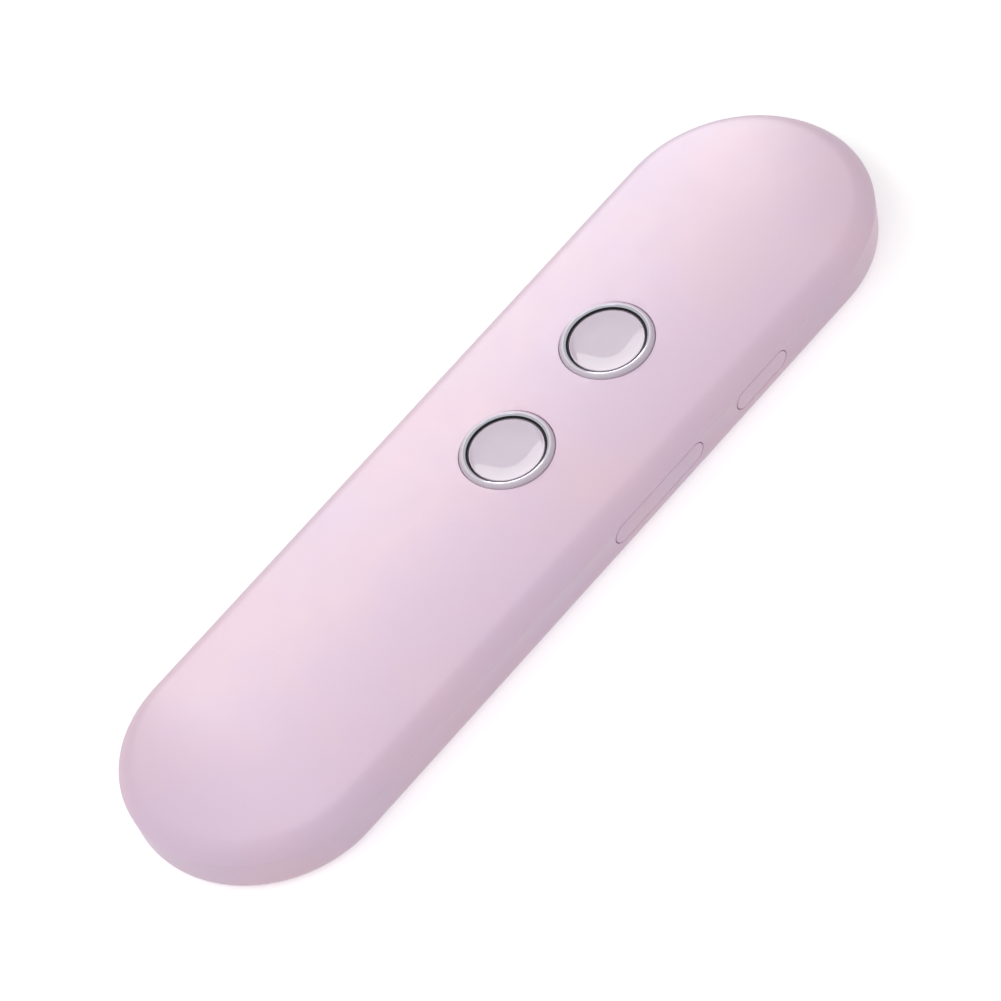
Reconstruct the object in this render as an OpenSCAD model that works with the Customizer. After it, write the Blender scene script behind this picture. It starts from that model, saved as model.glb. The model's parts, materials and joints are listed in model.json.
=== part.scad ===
// Handheld voice translator: a slim round-ended stick with two talk buttons on
// its domed front, a power key and a volume rocker in its right side, and a
// charging socket in its top end. Millimetres. X runs across the body towards
// the side keys, Y along it towards the top end, Z up out of the front face.
// The origin is the middle of the flat back, on which the body rests.

/* [Body] */
// Overall length
body_l = 140; // [136:1:150]
// Overall width, measured across the crease
body_w = 37.8; // [37.2:0.2:41]
// Height of the crease where the two shells meet, above the back
crease_z = 6.3; // [6:0.1:6.6]
// Rise of the domed front above the crease
crown_rise = 4.2; // [4.2:0.1:5.2]
// Thickness of the shells' walls
wall = 1.5; // [1.3:0.1:1.7]
// Thickness of the flat back
floor_t = 1.4; // [1.2:0.1:1.6]
// Radius of the dome's shoulder
shoulder_r = 4.5; // [3.5:0.25:5]
// Slope of the dome at the crease, in degrees from level
crease_slope = 62; // [54:1:68]
// How far the side wall leans in from the crease down to the back
side_draft = 0.6; // [0.2:0.1:0.8]
// Radius of the outer edge round the back
back_edge_r = 2; // [1.7:0.1:2.2]

/* [Joint between the shells] */
// Thickness of the front shell's tongue
lip_t = 0.8; // [0.6:0.05:0.9]
// Depth that the tongue reaches into the back shell
lip_h = 1.2; // [0.9:0.1:1.4]
// Radius of the snap ridges on the tongue
snap_r = 0.3; // [0.25:0.05:0.35]
// Length of each snap ridge
snap_l = 7; // [5:0.5:8]

/* [Talk buttons] */
// Distance of the upper button's centre from the middle of the body
upper_button_y = 23.8; // [23:0.2:25.8]
// Distance between the two buttons' centres
button_pitch = 21.4; // [20.6:0.2:22]
// Outer radius of the trim ring
trim_r = 6.6; // [6.3:0.1:6.8]
// Radius of the trim ring's rounded crest
trim_crest_r = 0.6; // [0.5:0.05:0.65]
// Height of the crest above the crown of the dome
trim_proud = 0.32; // [0.2:0.02:0.4]
// Radial width of the polished chamfer inside the crest
chamfer_w = 0.46; // [0.36:0.02:0.5]
// Drop of the polished chamfer
chamfer_h = 0.3; // [0.2:0.02:0.36]
// Depth of the finger dish in the cap
dish_depth = 0.3; // [0.15:0.05:0.4]
// Radius of the flat middle of the dish
dish_flat_r = 2.4; // [1.6:0.2:3]
// Travel of a talk button
talk_travel = 0.35; // [0.25:0.05:0.35]

/* [Side keys] */
// Height of both side keys
key_h = 3; // [2.7:0.1:3.1]
// Width of the band of wall left between a key and the crease
key_drop = 0.6; // [0.5:0.05:0.7]
// How far the keys stand out of the wall
key_proud = 0.05; // [0:0.01:0.06]
// Length of the power key
power_key_l = 10.4; // [9.5:0.1:11]
// Distance of the power key's centre from the middle of the body
power_key_y = 32.4; // [31.6:0.2:33.6]
// Travel of the power key
power_travel = 0.3; // [0.2:0.05:0.3]
// Length of the volume key
volume_key_l = 18.4; // [17.6:0.2:19]
// Distance of the volume key's centre from the middle of the body
volume_key_y = 10.4; // [9.8:0.2:11.2]
// Radius of the pin that the volume key rocks on
pin_r = 0.4; // [0.35:0.05:0.45]

/* [Main board] */
// Thickness of the circuit board
board_t = 1; // [0.8:0.1:1]
// How far the board reaches below its lower screws
board_over = 2.3; // [2.2:0.1:3.4]
// Side of a talk switch
switch_w = 4.6; // [4:0.1:5]
// Height of a talk switch's frame
switch_frame_h = 0.9; // [0.8:0.05:0.9]
// Height of a side switch, which is also twice the depth of its plunger
side_switch_h = 2.2; // [2:0.1:2.2]

/* [Charging socket] */
// Width of the socket's metal shell
port_w = 8.94; // [8.7:0.02:9.2]
// Height of the socket's metal shell
port_h = 3.16; // [3:0.02:3.2]
// Depth of the socket's metal shell
port_d = 7.3; // [6.5:0.1:8]

/* [Battery and speaker] */
// Length of the battery
battery_l = 32; // [28:0.5:32]
// Width of the battery
battery_w = 26; // [24:0.5:28]
// Thickness of the battery
battery_t = 4.8; // [4:0.1:4.8]
// Radius of the speaker
speaker_r = 10; // [9:0.25:10]
// Height of the speaker's frame
speaker_h = 3; // [2.6:0.1:3.2]
// Radius of the holes in the sound grille
grille_hole_r = 0.5; // [0.4:0.05:0.6]
// Distance between neighbouring grille holes
grille_pitch = 2.1; // [1.9:0.1:2.2]

/* [Fits] */
// Gap between pieces that are glued or pressed together
fit_gap = 0.05; // [0.03:0.01:0.08]
// Gap between a cap and the ring that it slides in
slide_gap = 0.1; // [0.08:0.01:0.12]
// Gap round the side keys
key_gap = 0.16; // [0.14:0.01:0.2]
// Gap between a moving piece and its stop, at rest
stop_gap = 0.1; // [0.08:0.01:0.12]

/* [Hidden] */

$fn = 96;
eps = 0.01;
far = 200;
// How deep a rib, post or nub is rooted in what carries it
root = 0.2;

// Colours
pearl = [0.90, 0.82, 0.87];
satin = [0.84, 0.81, 0.85];
gloss = [0.83, 0.78, 0.84];
carrier = [0.35, 0.35, 0.38];
steel = [0.74, 0.75, 0.77];
board_green = [0.10, 0.35, 0.24];
chip_black = [0.10, 0.10, 0.11];
rubber = [0.16, 0.16, 0.17];
pouch = [0.72, 0.73, 0.75];

// Plan of the body: a straight middle with a round end at each side
half_w = body_w / 2;
straight_l = body_l - body_w;
end_y = straight_l / 2;

// Section of the dome: a wide crown arc that runs into a tight shoulder arc
crown_z = crease_z + crown_rise;
shoulder_span = half_w - shoulder_r * sin(crease_slope);
shoulder_rest = crown_rise - shoulder_r * (1 - cos(crease_slope));
crown_angle = 2 * atan(shoulder_rest / shoulder_span);
crown_r = shoulder_r + shoulder_span / sin(crown_angle);
crown_c = crown_z - crown_r;
shoulder_x = (crown_r - shoulder_r) * sin(crown_angle);
shoulder_z = crown_c + (crown_r - shoulder_r) * cos(crown_angle);

// Section of the back shell: a wall that leans in by the draft angle
draft_angle = atan(side_draft / crease_z);
function wall_x(z, inset = 0) =
    half_w - (crease_z - z) * tan(draft_angle) - inset / cos(draft_angle);

// Tongue of the front shell, a small step out from the dome's inner face, with
// its rebate in the back shell and its snap ridges
lip_step = 0.1;
lip_in_x = shoulder_x + sqrt(pow(shoulder_r - wall, 2) - pow(crease_z - shoulder_z, 2)) + lip_step;
lip_out_x = lip_in_x + lip_t;
snap_z = crease_z - lip_h / 2;
snap_shares = [0.42, 0.9];
snap_ys = [for (s = [-1, 1], k = snap_shares) s * k * end_y];

// Levels of the side keys and of the board that carries their switches
key_z = crease_z - key_drop - key_h / 2;
board_z = key_z + side_switch_h / 2;
board_top = board_z + board_t;

// Talk button: levels down from the crown and up from the board
button_ys = [upper_button_y, upper_button_y - button_pitch];
trim_crest_c = crown_z + trim_proud - trim_crest_r;
crest_cut_angle = 35;
chamfer_out_r = trim_r - trim_crest_r * (1 + sin(crest_cut_angle));
chamfer_top_z = trim_crest_c + trim_crest_r * cos(crest_cut_angle);
bore_r = chamfer_out_r - chamfer_w;
chamfer_low_z = chamfer_top_z - chamfer_h;
cap_r = bore_r - slide_gap;
ledge_depth = 0.9;
ledge_z = crown_z - ledge_depth;
sleeve_depth = 1.6;
sleeve_t = 1;
sleeve_r = bore_r + sleeve_t;
seat_z = crown_z - sleeve_depth;
flange_top = seat_z - fit_gap - stop_gap;
flange_t = 0.8;
flange_rim = 0.3;
flange_r = sleeve_r + flange_rim;
guide_gap = 0.35;
guide_r = flange_r + guide_gap;
guide_t = 0.9;
guide_low = flange_top - flange_t - talk_travel - stop_gap;
ear_w = 1.6;
ear_out = 0.6;
cap_skin = 0.9;
dish_z = chamfer_low_z - dish_depth;
cap_wall = 0.6;
cap_rim = 0.08;
post_r = cap_r - cap_wall - fit_gap;
plunger_root = 0.15;
nub_over = 0.4;
switch_h = 1.5;
plunger_top = board_top + switch_h;
talk_plunger_r = 1;

// Side keys: the flange behind the wall, the switches and the rocker's pivot
flange_over = 0.5;
key_flange_t = 0.8;
wall_in_low = wall_x(key_z - key_h / 2 - flange_over, wall);
power_flange_x = wall_in_low - stop_gap;
rock_angle = 1.8;
volume_flange_x = power_flange_x - (volume_key_l / 2 + flange_over) * tan(rock_angle);
key_nub_l = 1.5;
plunger_tip_x = power_flange_x - key_flange_t - key_nub_l;
side_plunger_l = 1.3;
side_plunger_r = 0.55;
plunger_out = 1;
side_switch_x = plunger_tip_x - plunger_out;
side_switch_d = 3.2;
side_switch_l = 4.6;
side_bore_d = side_plunger_l - plunger_out + power_travel + stop_gap;
volume_switch_in = 3;
volume_switch_dy = volume_key_l / 2 - volume_switch_in;
lug_wall = 0.6;
lug_r = pin_r + lug_wall;
lug_h = 1.8;
lug_gap = 0.15;
pin_x = volume_flange_x - key_flange_t - lug_r - lug_gap;
post_out_r = lug_r;
pin_sunk = 0.35;
pin_low = floor_t - pin_sunk;
pin_over = 1.1;
pin_top = key_z + lug_h / 2 + pin_over;
post_top = shoulder_z + sqrt(pow(shoulder_r - wall, 2) - pow(max(pin_x - shoulder_x, 0), 2)) + 2 * root;

// Main board
board_gap = 1.1;
board_inset = wall + board_gap;
board_side = side_switch_x - key_gap;
screw_r = 0.6;
screw_head_r = 1.25;
screw_head_h = 0.6;
screw_l = 3;
screw_tip_gap = 0.3;
screw_hole_gap = 0.15;
recess_size = [1.3, 0.35];
boss_r = 1.7;
screw_in = 2.4;
screw_x = board_side - screw_in;
low_screw_y = volume_key_y - volume_switch_dy - side_switch_l / 2 - boss_r - key_gap;
board_low_y = low_screw_y - board_over;
top_screw_in = 1.1;
top_screw_y = end_y - top_screw_in;
screw_xy = [for (x = [-screw_x, screw_x], y = [low_screw_y, top_screw_y]) [x, y]];
can_size = [18, 14, 1.3];
can_sheet = 0.2;
can_in = 5.5;
can_y = end_y - can_in;
processor_size = [7, 7, 0.9];
processor_x = -3.5;
memory_size = [5, 6, 0.8];
memory_x = 5;
power_chip_size = [4, 4, 0.8];
power_chip_y = upper_button_y;
antenna_size = [7, 2, 0.8];
antenna_x = 8.5;
antenna_back = 9.9;
antenna_y = body_l / 2 - antenna_back;

// Ribs under the dome and the tongue's clearance round what passes through it
rib_t = 0.9;
rib_gap = 0.3;
rib_off = 1.5;
lip_clear = 0.5;

// Charging socket, in the middle of the top end's wall
port_drop = 0.1;
port_z = key_z - port_drop;
port_inset = 0.4;
port_front = end_y + wall_x(port_z) - port_inset;
port_sheet = 0.3;
port_back = 1;
tongue_size = [6.7, 0.7];
tongue_inset = 0.9;

// Microphone, beside the socket
mic_x = -9;
mic_size = [3.5, 2.7, 1];
mic_back = 4.65;
mic_y = end_y + sqrt(pow(wall_x(port_z, wall), 2) - pow(mic_x, 2)) - mic_back;
mic_hole_r = 0.5;
boot_t = 0.6;
boot_drop = 1.4;
boot_low = port_z - boot_drop;
boot_over = 0.65;

// Battery and speaker, in line below the board, between fences on the floor
pad_t = 0.3;
pad_in = 2;
battery_gap = 0.2;
battery_edge_r = 1.2;
guard_size = [24, 2.8, 0.8];
guard_z = floor_t + pad_t + battery_t / 2;
tab_t = 0.4;
tab_in = 1.5;
guard_gap = 1.4;
battery_top_y = board_low_y - guard_size[1] - guard_gap;
battery_low_y = battery_top_y - battery_l;
battery_mid = (battery_low_y + battery_top_y) / 2;
fence_t = 0.9;
fence_l = 5;
fence_h = 1.4;
plug_size = [4, 2.4, 1.1];
plug_x = -4;
plug_in = 1.8;
plug_y = board_low_y + plug_in;
plug_drop = 0.2;
plug_z = board_z - plug_drop - plug_size[2];
socket_wall = [0.5, 0.8, 0.3];
battery_lead_r = 0.4;
battery_lead_dx = 1;
terminal_size = [5, 1.6, 1];
speaker_y = battery_low_y - 3 * battery_gap - terminal_size[1] - speaker_r;
mesh_t = 0.12;
gasket_t = 0.5;
speaker_z = floor_t + mesh_t + gasket_t;
rim_w = 1.4;
rim_h = 1.2;
rim_skin = 0.9;
cone_w = 2.6;
magnet_in = 4.2;
magnet_out = 0.8;
film_t = 0.2;
film_z = 0.1;
terminal_top = 2.9;
lead_r = 0.35;
lead_bend_r = 1.2;
lead_step = 0.8;
lead_start = 0.6;
lead_end_l = 0.4;
lead_z = board_z - lead_r;

// ---- shared shapes ----

// Sweeps a half section, drawn right of the axis, round the plan of the body
module body_sweep() {
    rotate([90, 0, 0]) linear_extrude(height = straight_l, center = true) {
        children();
        mirror([1, 0]) children();
    }
    for (s = [0, 1]) rotate([0, 0, 180 * s]) translate([0, end_y, 0])
        rotate_extrude(angle = 180) children();
}

// A flat plate with the plan of the body, set in from the crease
module slab(inset, z0, z1) {
    body_sweep() translate([0, z0]) square([half_w - inset, z1 - z0]);
}

// Half section of the dome, set in from its outside and cut off at a level
module dome_half(inset, base) {
    out = [sin(crown_angle), cos(crown_angle)];
    centre = [0, crown_c];
    shoulder = [shoulder_x, shoulder_z];
    intersection() {
        translate([0, base]) square([far, far]);
        union() {
            intersection() {
                translate(centre) circle(crown_r - inset);
                polygon([centre, centre + [0, far], centre + far * out]);
            }
            intersection() {
                translate(shoulder) circle(shoulder_r - inset);
                polygon([centre, centre + far * out, [far, far], [far, crown_c]]);
            }
        }
    }
}

// Half section of the back shell's tub, set in from its outside
module tub_half(inset, base) {
    r = back_edge_r - inset;
    lean = [cos(draft_angle), -sin(draft_angle)];
    centre = [wall_x(base + r, inset) - r / cos(draft_angle), base + r];
    polygon([
        [0, base], [centre[0], base], centre, centre + r * lean,
        [wall_x(crease_z, inset), crease_z], [0, crease_z],
    ]);
    intersection() {
        translate(centre) circle(r);
        polygon([centre, centre + far * lean, centre + far * [1, -1], centre + far * [0, -1]]);
    }
}

// A prism with round ends that runs along X, its section centred on Y and Z
module stadium_x(l, h, x0, x1) {
    translate([x0, 0, 0]) rotate([0, 90, 0]) linear_extrude(height = x1 - x0) {
        square([h, l - h], center = true);
        for (s = [-1, 1]) intersection() {
            translate([0, s * (l - h) / 2]) circle(h / 2);
            translate([0, s * l / 2]) square([h, h], center = true);
        }
    }
}

// A box given by its middle in X and Y, its size and its lower level
module block(x, y, z, size) {
    translate([x - size[0] / 2, y - size[1] / 2, z]) cube(size);
}

// A flat ring or disc on the Z axis
module ring(r_out, r_in, z0, z1) {
    translate([0, 0, z0]) difference() {
        cylinder(r = r_out, h = z1 - z0);
        if (r_in > 0) translate([0, 0, -eps]) cylinder(r = r_in, h = z1 - z0 + 2 * eps);
    }
}

// Places its children at a talk button's centre
module at_button(k) translate([0, button_ys[k], 0]) children();

// ---- shells ----

// Holes and recesses for one talk button, cut from the front shell
module button_cuts() {
    ring(trim_r + fit_gap, 0, ledge_z, far);
    ring(sleeve_r + fit_gap, 0, seat_z - eps, far);
    ring(guide_r, 0, guide_low - eps, seat_z);
    for (s = [-1, 1])
        block(0, s * guide_r, guide_low - eps, [ear_w + 2 * key_gap, 2 * (ear_out + guide_gap), seat_z - guide_low]);
}

// Cross ribs under the dome: two press on the battery, two stiffen the top end
module dome_ribs() {
    rib_ys = [battery_mid - battery_l / 4, battery_mid + battery_l / 4, can_y - can_size[1] / 2 - rib_off,
        can_y + can_size[1] / 2 + rib_off];
    rib_low = floor_t + pad_t + battery_t + rib_gap;
    intersection() {
        body_sweep() dome_half(wall / 2, rib_low);
        for (y = rib_ys) block(0, y, rib_low, [body_w, rib_t, far]);
    }
}

module front_shell() color(pearl) {
    difference() {
        union() {
            difference() {
                body_sweep() dome_half(0, crease_z);
                body_sweep() dome_half(wall, crease_z - 1);
            }
            difference() {
                body_sweep() translate([lip_in_x, crease_z - lip_h]) square([lip_t, lip_h + root]);
                lip_gaps();
            }
            snap_ridges(snap_r, snap_l);
            dome_ribs();
            for (k = [0, 1]) at_button(k)
                ring(guide_r + guide_t, guide_r, guide_low, crown_z - wall + root);
            translate([pin_x, volume_key_y, 0])
                ring(post_out_r, 0, key_z + lug_h / 2 + lug_gap, post_top);
        }
        for (k = [0, 1]) at_button(k) button_cuts();
        translate([pin_x, volume_key_y, 0]) ring(pin_r + fit_gap, 0, 0, pin_top + fit_gap);
    }
}

// Places where the tongue stops to let the side keys and the socket pass
module lip_gaps() {
    over = 2 * (flange_over + lip_clear);
    block(half_w, power_key_y, 0, [4 * wall, power_key_l + over, far]);
    block(half_w, volume_key_y, 0, [4 * wall, volume_key_l + over, far]);
    block(0, body_l / 2, 0, [port_w + 2 * lip_clear, half_w, far]);
    block(mic_x, body_l / 2, 0, [mic_size[0] + 2 * (boot_t + lip_clear), half_w, far]);
}

// Round ridges along the straight sides of the tongue, clear of the side keys
module snap_ridges(r, l) {
    keys_top = power_key_y + power_key_l / 2 + flange_over + lip_clear;
    for (s = [-1, 1], y = snap_ys) if (s < 0 || y < 0 || y - snap_l / 2 > keys_top)
        translate([s * (lip_out_x - snap_r / 4), y, snap_z])
            rotate([90, 0, 0]) cylinder(r = r, h = l, center = true);
}

// Hexagonal patch of sound holes
module grille_holes() {
    for (i = [-3:3], j = [-3:3]) if (abs(i + j) <= 3)
        translate([(i + j / 2) * grille_pitch, j * grille_pitch * sin(60), 0])
            cylinder(r = grille_hole_r, h = 3 * floor_t, center = true);
}

// Walls and posts that stand on the floor of the back shell
module floor_fittings() {
    low = floor_t - root;
    side_x = battery_w / 2 + battery_gap + fence_t / 2;
    for (p = screw_xy) translate([p[0], p[1], 0]) ring(boss_r, 0, low, board_z);
    for (x = [-1, 1], y = [-1, 1])
        block(x * side_x, battery_mid + y * (battery_l / 2 - fence_l), low, [fence_t, fence_l, fence_h + root]);
    for (x = [-1, 1])
        block(x * battery_w / 4, battery_top_y + battery_gap + fence_t / 2, low, [fence_l, fence_t, fence_h + root]);
    translate([0, speaker_y, 0])
        ring(speaker_r + slide_gap + fence_t, speaker_r + slide_gap, low, speaker_z + fence_h);
    translate([pin_x, volume_key_y, 0]) ring(post_out_r, 0, low, key_z - lug_h / 2 - lug_gap);
    block(0, port_front - port_d / 2, low, [port_w / 2, port_d / 3, port_z - port_h / 2 - low]);
}

module back_shell() color(pearl) {
    port_gap = 2 * slide_gap;
    difference() {
        union() {
            difference() {
                body_sweep() tub_half(0, 0);
                body_sweep() tub_half(wall, floor_t);
                body_sweep() translate([0, crease_z - lip_h - slide_gap])
                    square([lip_out_x + fit_gap, lip_h + 1]);
            }
            floor_fittings();
        }
        snap_ridges(snap_r + fit_gap, snap_l + 2 * slide_gap);
        for (p = screw_xy)
            translate([p[0], p[1], 0]) ring(screw_r, 0, board_z - screw_l, board_z + eps);
        translate([0, speaker_y, 0]) grille_holes();
        block(0, speaker_y + speaker_r, speaker_z + eps,
            [terminal_size[0] + 2 * fence_t, 4 * fence_t, far]);
        translate([0, power_key_y, key_z])
            stadium_x(power_key_l + 2 * key_gap, key_h + 2 * key_gap, half_w / 2, half_w + 1);
        translate([0, volume_key_y, key_z])
            stadium_x(volume_key_l + 2 * key_gap, key_h + 2 * key_gap, half_w / 2, half_w + 1);
        translate([pin_x, volume_key_y, 0]) ring(pin_r, 0, pin_low, far);
        translate([0, 0, port_z]) rotate([0, 0, 90])
            stadium_x(port_w + port_gap, port_h + port_gap, port_front - port_d, body_l);
        translate([mic_x, mic_y, port_z]) rotate([-90, 0, 0]) cylinder(r = mic_hole_r, h = body_w);
    }
}

// ---- talk buttons ----

// Ring round a button: a rounded crest, a polished chamfer and a glued sleeve
module trim_ring(k) color(satin) at_button(k) rotate_extrude() {
    difference() {
        translate([bore_r, ledge_z]) square([trim_r - bore_r, trim_crest_c - ledge_z]);
        chamfer_section();
    }
    difference() {
        intersection() {
            translate([trim_r - trim_crest_r, trim_crest_c]) circle(trim_crest_r);
            translate([0, trim_crest_c]) square([far, far]);
        }
        chamfer_section();
    }
    translate([bore_r, seat_z - fit_gap]) square([sleeve_t, ledge_z - seat_z + fit_gap + root]);
}

// What the chamfer takes away from the ring's section
module chamfer_section() {
    polygon([
        [bore_r - 1, chamfer_low_z], [bore_r, chamfer_low_z],
        [chamfer_out_r, chamfer_top_z], [chamfer_out_r, crown_z + 1], [bore_r - 1, crown_z + 1],
    ]);
}

// Glossy cap: a shallow cup glued over the base's post, dished for the finger
module button_cap(k) color(gloss) at_button(k) {
    difference() {
        ring(cap_r, 0, flange_top, chamfer_low_z);
        ring(post_r + fit_gap, 0, flange_top - eps, dish_z - cap_skin);
        finger_dish();
    }
}

// What the dish takes away: a flat middle whose edge curves up to the cap's rim
module finger_dish() {
    reach = cap_r - cap_rim - dish_flat_r;
    curve_r = (reach * reach + dish_depth * dish_depth) / (2 * dish_depth);
    translate([0, 0, dish_z]) rotate_extrude() {
        square([dish_flat_r, curve_r]);
        translate([dish_flat_r, 0]) intersection() {
            translate([0, curve_r]) circle(curve_r);
            square([curve_r, curve_r]);
        }
    }
}

// Base: a flange that stops under the sleeve, a post and a nub for the switch
module button_base(k) color(carrier) at_button(k) {
    flange_low = flange_top - flange_t;
    ring(flange_r, 0, flange_low, flange_top);
    ring(post_r, 0, flange_top - root, dish_z - cap_skin);
    ring(talk_plunger_r + nub_over, 0, plunger_top, flange_low + root);
    intersection() {
        block(0, 0, flange_low, [ear_w, 2 * (guide_r + ear_out), flange_t]);
        ring(guide_r + ear_out, flange_r - root, flange_low, flange_top);
    }
}

module switch_plunger(k) color("white") at_button(k)
    ring(talk_plunger_r, 0, board_top + switch_frame_h - plunger_root, plunger_top);

module switch_frame(k) color(steel) at_button(k) {
    foot = [0.8, 0.7, 0.2];
    bore_z = board_top + switch_frame_h - plunger_root - talk_travel - stop_gap;
    difference() {
        block(0, 0, board_top, [switch_w, switch_w, switch_frame_h]);
        ring(talk_plunger_r + slide_gap, 0, bore_z, far);
    }
    for (x = [-1, 1], y = [-1, 1])
        block(x * switch_w / 2, y * switch_w / 4, board_top, [2 * foot[0], foot[1], foot[2]]);
}

// ---- side keys ----

// The part of a key that fills its slot: its face is parallel to the wall
module key_face(l, x_in) {
    intersection() {
        stadium_x(l, key_h, x_in, half_w + 1);
        rotate([90, 0, 0]) linear_extrude(height = l + 1, center = true) polygon([
            [x_in, -key_h], [wall_x(key_z - key_h) + key_proud, -key_h],
            [wall_x(key_z + key_h) + key_proud, key_h], [x_in, key_h],
        ]);
    }
}

// Plate behind the slot that keeps a key in
module key_flange(l, x_out) {
    block(x_out - key_flange_t / 2, 0, -key_h / 2 - flange_over,
        [key_flange_t, l + 2 * flange_over, key_h + flange_over]);
}

module key_nub(y, x_out) {
    tip = plunger_tip_x;
    translate([tip, y, 0]) rotate([0, 90, 0])
        cylinder(r = side_plunger_r + nub_over, h = x_out - key_flange_t - tip + root);
}

module power_key() color(pearl) translate([0, power_key_y, key_z]) {
    key_face(power_key_l, power_flange_x - root);
    key_flange(power_key_l, power_flange_x);
    key_nub(0, power_flange_x);
}

module volume_key() color(pearl) translate([0, volume_key_y, key_z]) {
    inner_x = volume_flange_x - key_flange_t;
    key_face(volume_key_l, volume_flange_x - root);
    key_flange(volume_key_l, volume_flange_x);
    for (s = [-1, 1]) key_nub(s * volume_switch_dy, volume_flange_x);
    difference() {
        union() {
            translate([pin_x, 0, -lug_h / 2]) cylinder(r = lug_r, h = lug_h);
            translate([pin_x, -lug_r, -lug_h / 2]) cube([inner_x - pin_x + root, 2 * lug_r, lug_h]);
        }
        translate([pin_x, 0, -lug_h]) cylinder(r = pin_r + fit_gap, h = 2 * lug_h);
    }
}

module rocker_pin() color(steel) translate([pin_x, volume_key_y, 0])
    ring(pin_r, 0, pin_low, pin_top);

module side_plunger(y) color("white") translate([plunger_tip_x - side_plunger_l, y, key_z])
    rotate([0, 90, 0]) cylinder(r = side_plunger_r, h = side_plunger_l);

module side_switch(y) color(steel) {
    low = board_z - side_switch_h;
    difference() {
        block(side_switch_x - side_switch_d / 2, y, low, [side_switch_d, side_switch_l, side_switch_h]);
        translate([side_switch_x - side_bore_d, y, key_z]) rotate([0, 90, 0])
            cylinder(r = side_plunger_r + 2 * slide_gap, h = side_bore_d + 1);
    }
}

// ---- main board ----

module main_board() color(board_green) difference() {
    intersection() {
        slab(board_inset, board_z, board_top);
        translate([-board_side, board_low_y, board_z]) cube([2 * board_side, far, far]);
    }
    for (p = screw_xy) translate([p[0], p[1], 0]) ring(screw_r + screw_hole_gap, 0, 0, far);
    block(0, port_front, 0, [port_w + 4 * slide_gap, 2 * (port_d + screw_tip_gap), far]);
}

module board_screws() color(steel) for (p = screw_xy) translate([p[0], p[1], 0])
    difference() {
        union() {
            ring(screw_head_r, 0, board_top, board_top + screw_head_h);
            ring(screw_r, 0, board_z - screw_l + screw_tip_gap, board_top + root);
        }
        for (a = [0, 90]) rotate([0, 0, a])
            block(0, 0, board_top + screw_head_h / 2, [recess_size[0], recess_size[1], screw_head_h]);
    }

module shield_can() color(steel) difference() {
    block(0, can_y, board_top, can_size);
    block(0, can_y, board_top - eps, can_size - can_sheet * [2, 2, 1]);
}

module processor_chip() color(chip_black) block(processor_x, can_y, board_top, processor_size);

module memory_chip() color(chip_black) block(memory_x, can_y, board_top, memory_size);

module power_chip() color(chip_black)
    block(0, power_chip_y, board_z - power_chip_size[2], power_chip_size);

module antenna() color("white") block(antenna_x, antenna_y, board_top, antenna_size);

// ---- charging socket and microphone ----

module at_port() translate([0, port_front - port_d, port_z]) rotate([0, 0, 90]) children();

module port_shell() color(steel) at_port() difference() {
    stadium_x(port_w, port_h, 0, port_d);
    stadium_x(port_w - 2 * port_sheet, port_h - 2 * port_sheet, port_back, port_d + 1);
}

module port_tongue() color(chip_black) at_port() {
    stadium_x(port_w - 2 * port_sheet, port_h - 2 * port_sheet, port_back, 2 * port_back);
    translate([port_back, -tongue_size[0] / 2, -tongue_size[1] / 2])
        cube([port_d - port_back - tongue_inset, tongue_size[0], tongue_size[1]]);
}

module microphone() color(steel)
    block(mic_x, mic_y, board_z - mic_size[2], mic_size);

// Rubber boot that seals the microphone to its hole in the wall
module microphone_boot() color(rubber) difference() {
    side = mic_size[0] + 2 * boot_t;
    start_y = mic_y - mic_size[1] / 2 - boot_over;
    intersection() {
        block(mic_x, start_y + far / 2, boot_low, [side, far, board_z - boot_low]);
        slab(half_w - wall_x(boot_low, wall) + fit_gap, 0, crease_z);
    }
    block(mic_x, mic_y, board_z - mic_size[2], mic_size + [0, 0, 1]);
    translate([mic_x, mic_y, port_z]) rotate([-90, 0, 0]) cylinder(r = mic_hole_r, h = body_w);
}

// ---- battery ----

module battery_cell() color(pouch) {
    edge_r = battery_edge_r;
    translate([0, battery_mid, floor_t + pad_t + battery_t / 2]) rotate([90, 0, 0])
        linear_extrude(height = battery_l, center = true) {
            square([battery_w - 2 * edge_r, battery_t], center = true);
            for (s = [-1, 1]) {
                translate([s * (battery_w - edge_r) / 2, 0])
                    square([edge_r, battery_t - 2 * edge_r], center = true);
                for (t = [-1, 1]) intersection() {
                    translate([s * (battery_w / 2 - edge_r), t * (battery_t / 2 - edge_r)])
                        circle(edge_r);
                    translate([s * (battery_w - edge_r) / 2, t * (battery_t - edge_r) / 2])
                        square(edge_r, center = true);
                }
            }
        }
    translate([tab_in - battery_w / 2, battery_top_y - root, guard_z - tab_t])
        cube([battery_w - 2 * tab_in, guard_size[1] + root, tab_t]);
}

module battery_pad() color(rubber)
    block(0, battery_mid, floor_t, [battery_w - 2 * pad_in, battery_l - 2 * pad_in, pad_t]);

module battery_guard_board() color(board_green)
    block(0, battery_top_y + guard_size[1] / 2, guard_z, guard_size);

module battery_leads() color("red") {
    low_y = battery_top_y + guard_size[1];
    for (s = [-1, 1]) translate([plug_x + s * battery_lead_dx, low_y, plug_z + plug_size[2] / 2])
        rotate([-90, 0, 0]) cylinder(r = battery_lead_r, h = plug_y - plug_size[1] / 2 - low_y);
}

module battery_plug() color("white") block(plug_x, plug_y, plug_z, plug_size);

// Its front is open, so the plug's front end shows
module battery_socket() color("ivory") difference() {
    low = plug_z - socket_wall[2];
    block(plug_x, plug_y + socket_wall[1], low,
        [plug_size[0] + 2 * socket_wall[0], plug_size[1] + socket_wall[1], board_z - low]);
    block(plug_x, plug_y, plug_z - fit_gap, plug_size + [2 * fit_gap, 0, 2 * fit_gap]);
}

// ---- speaker ----

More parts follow.
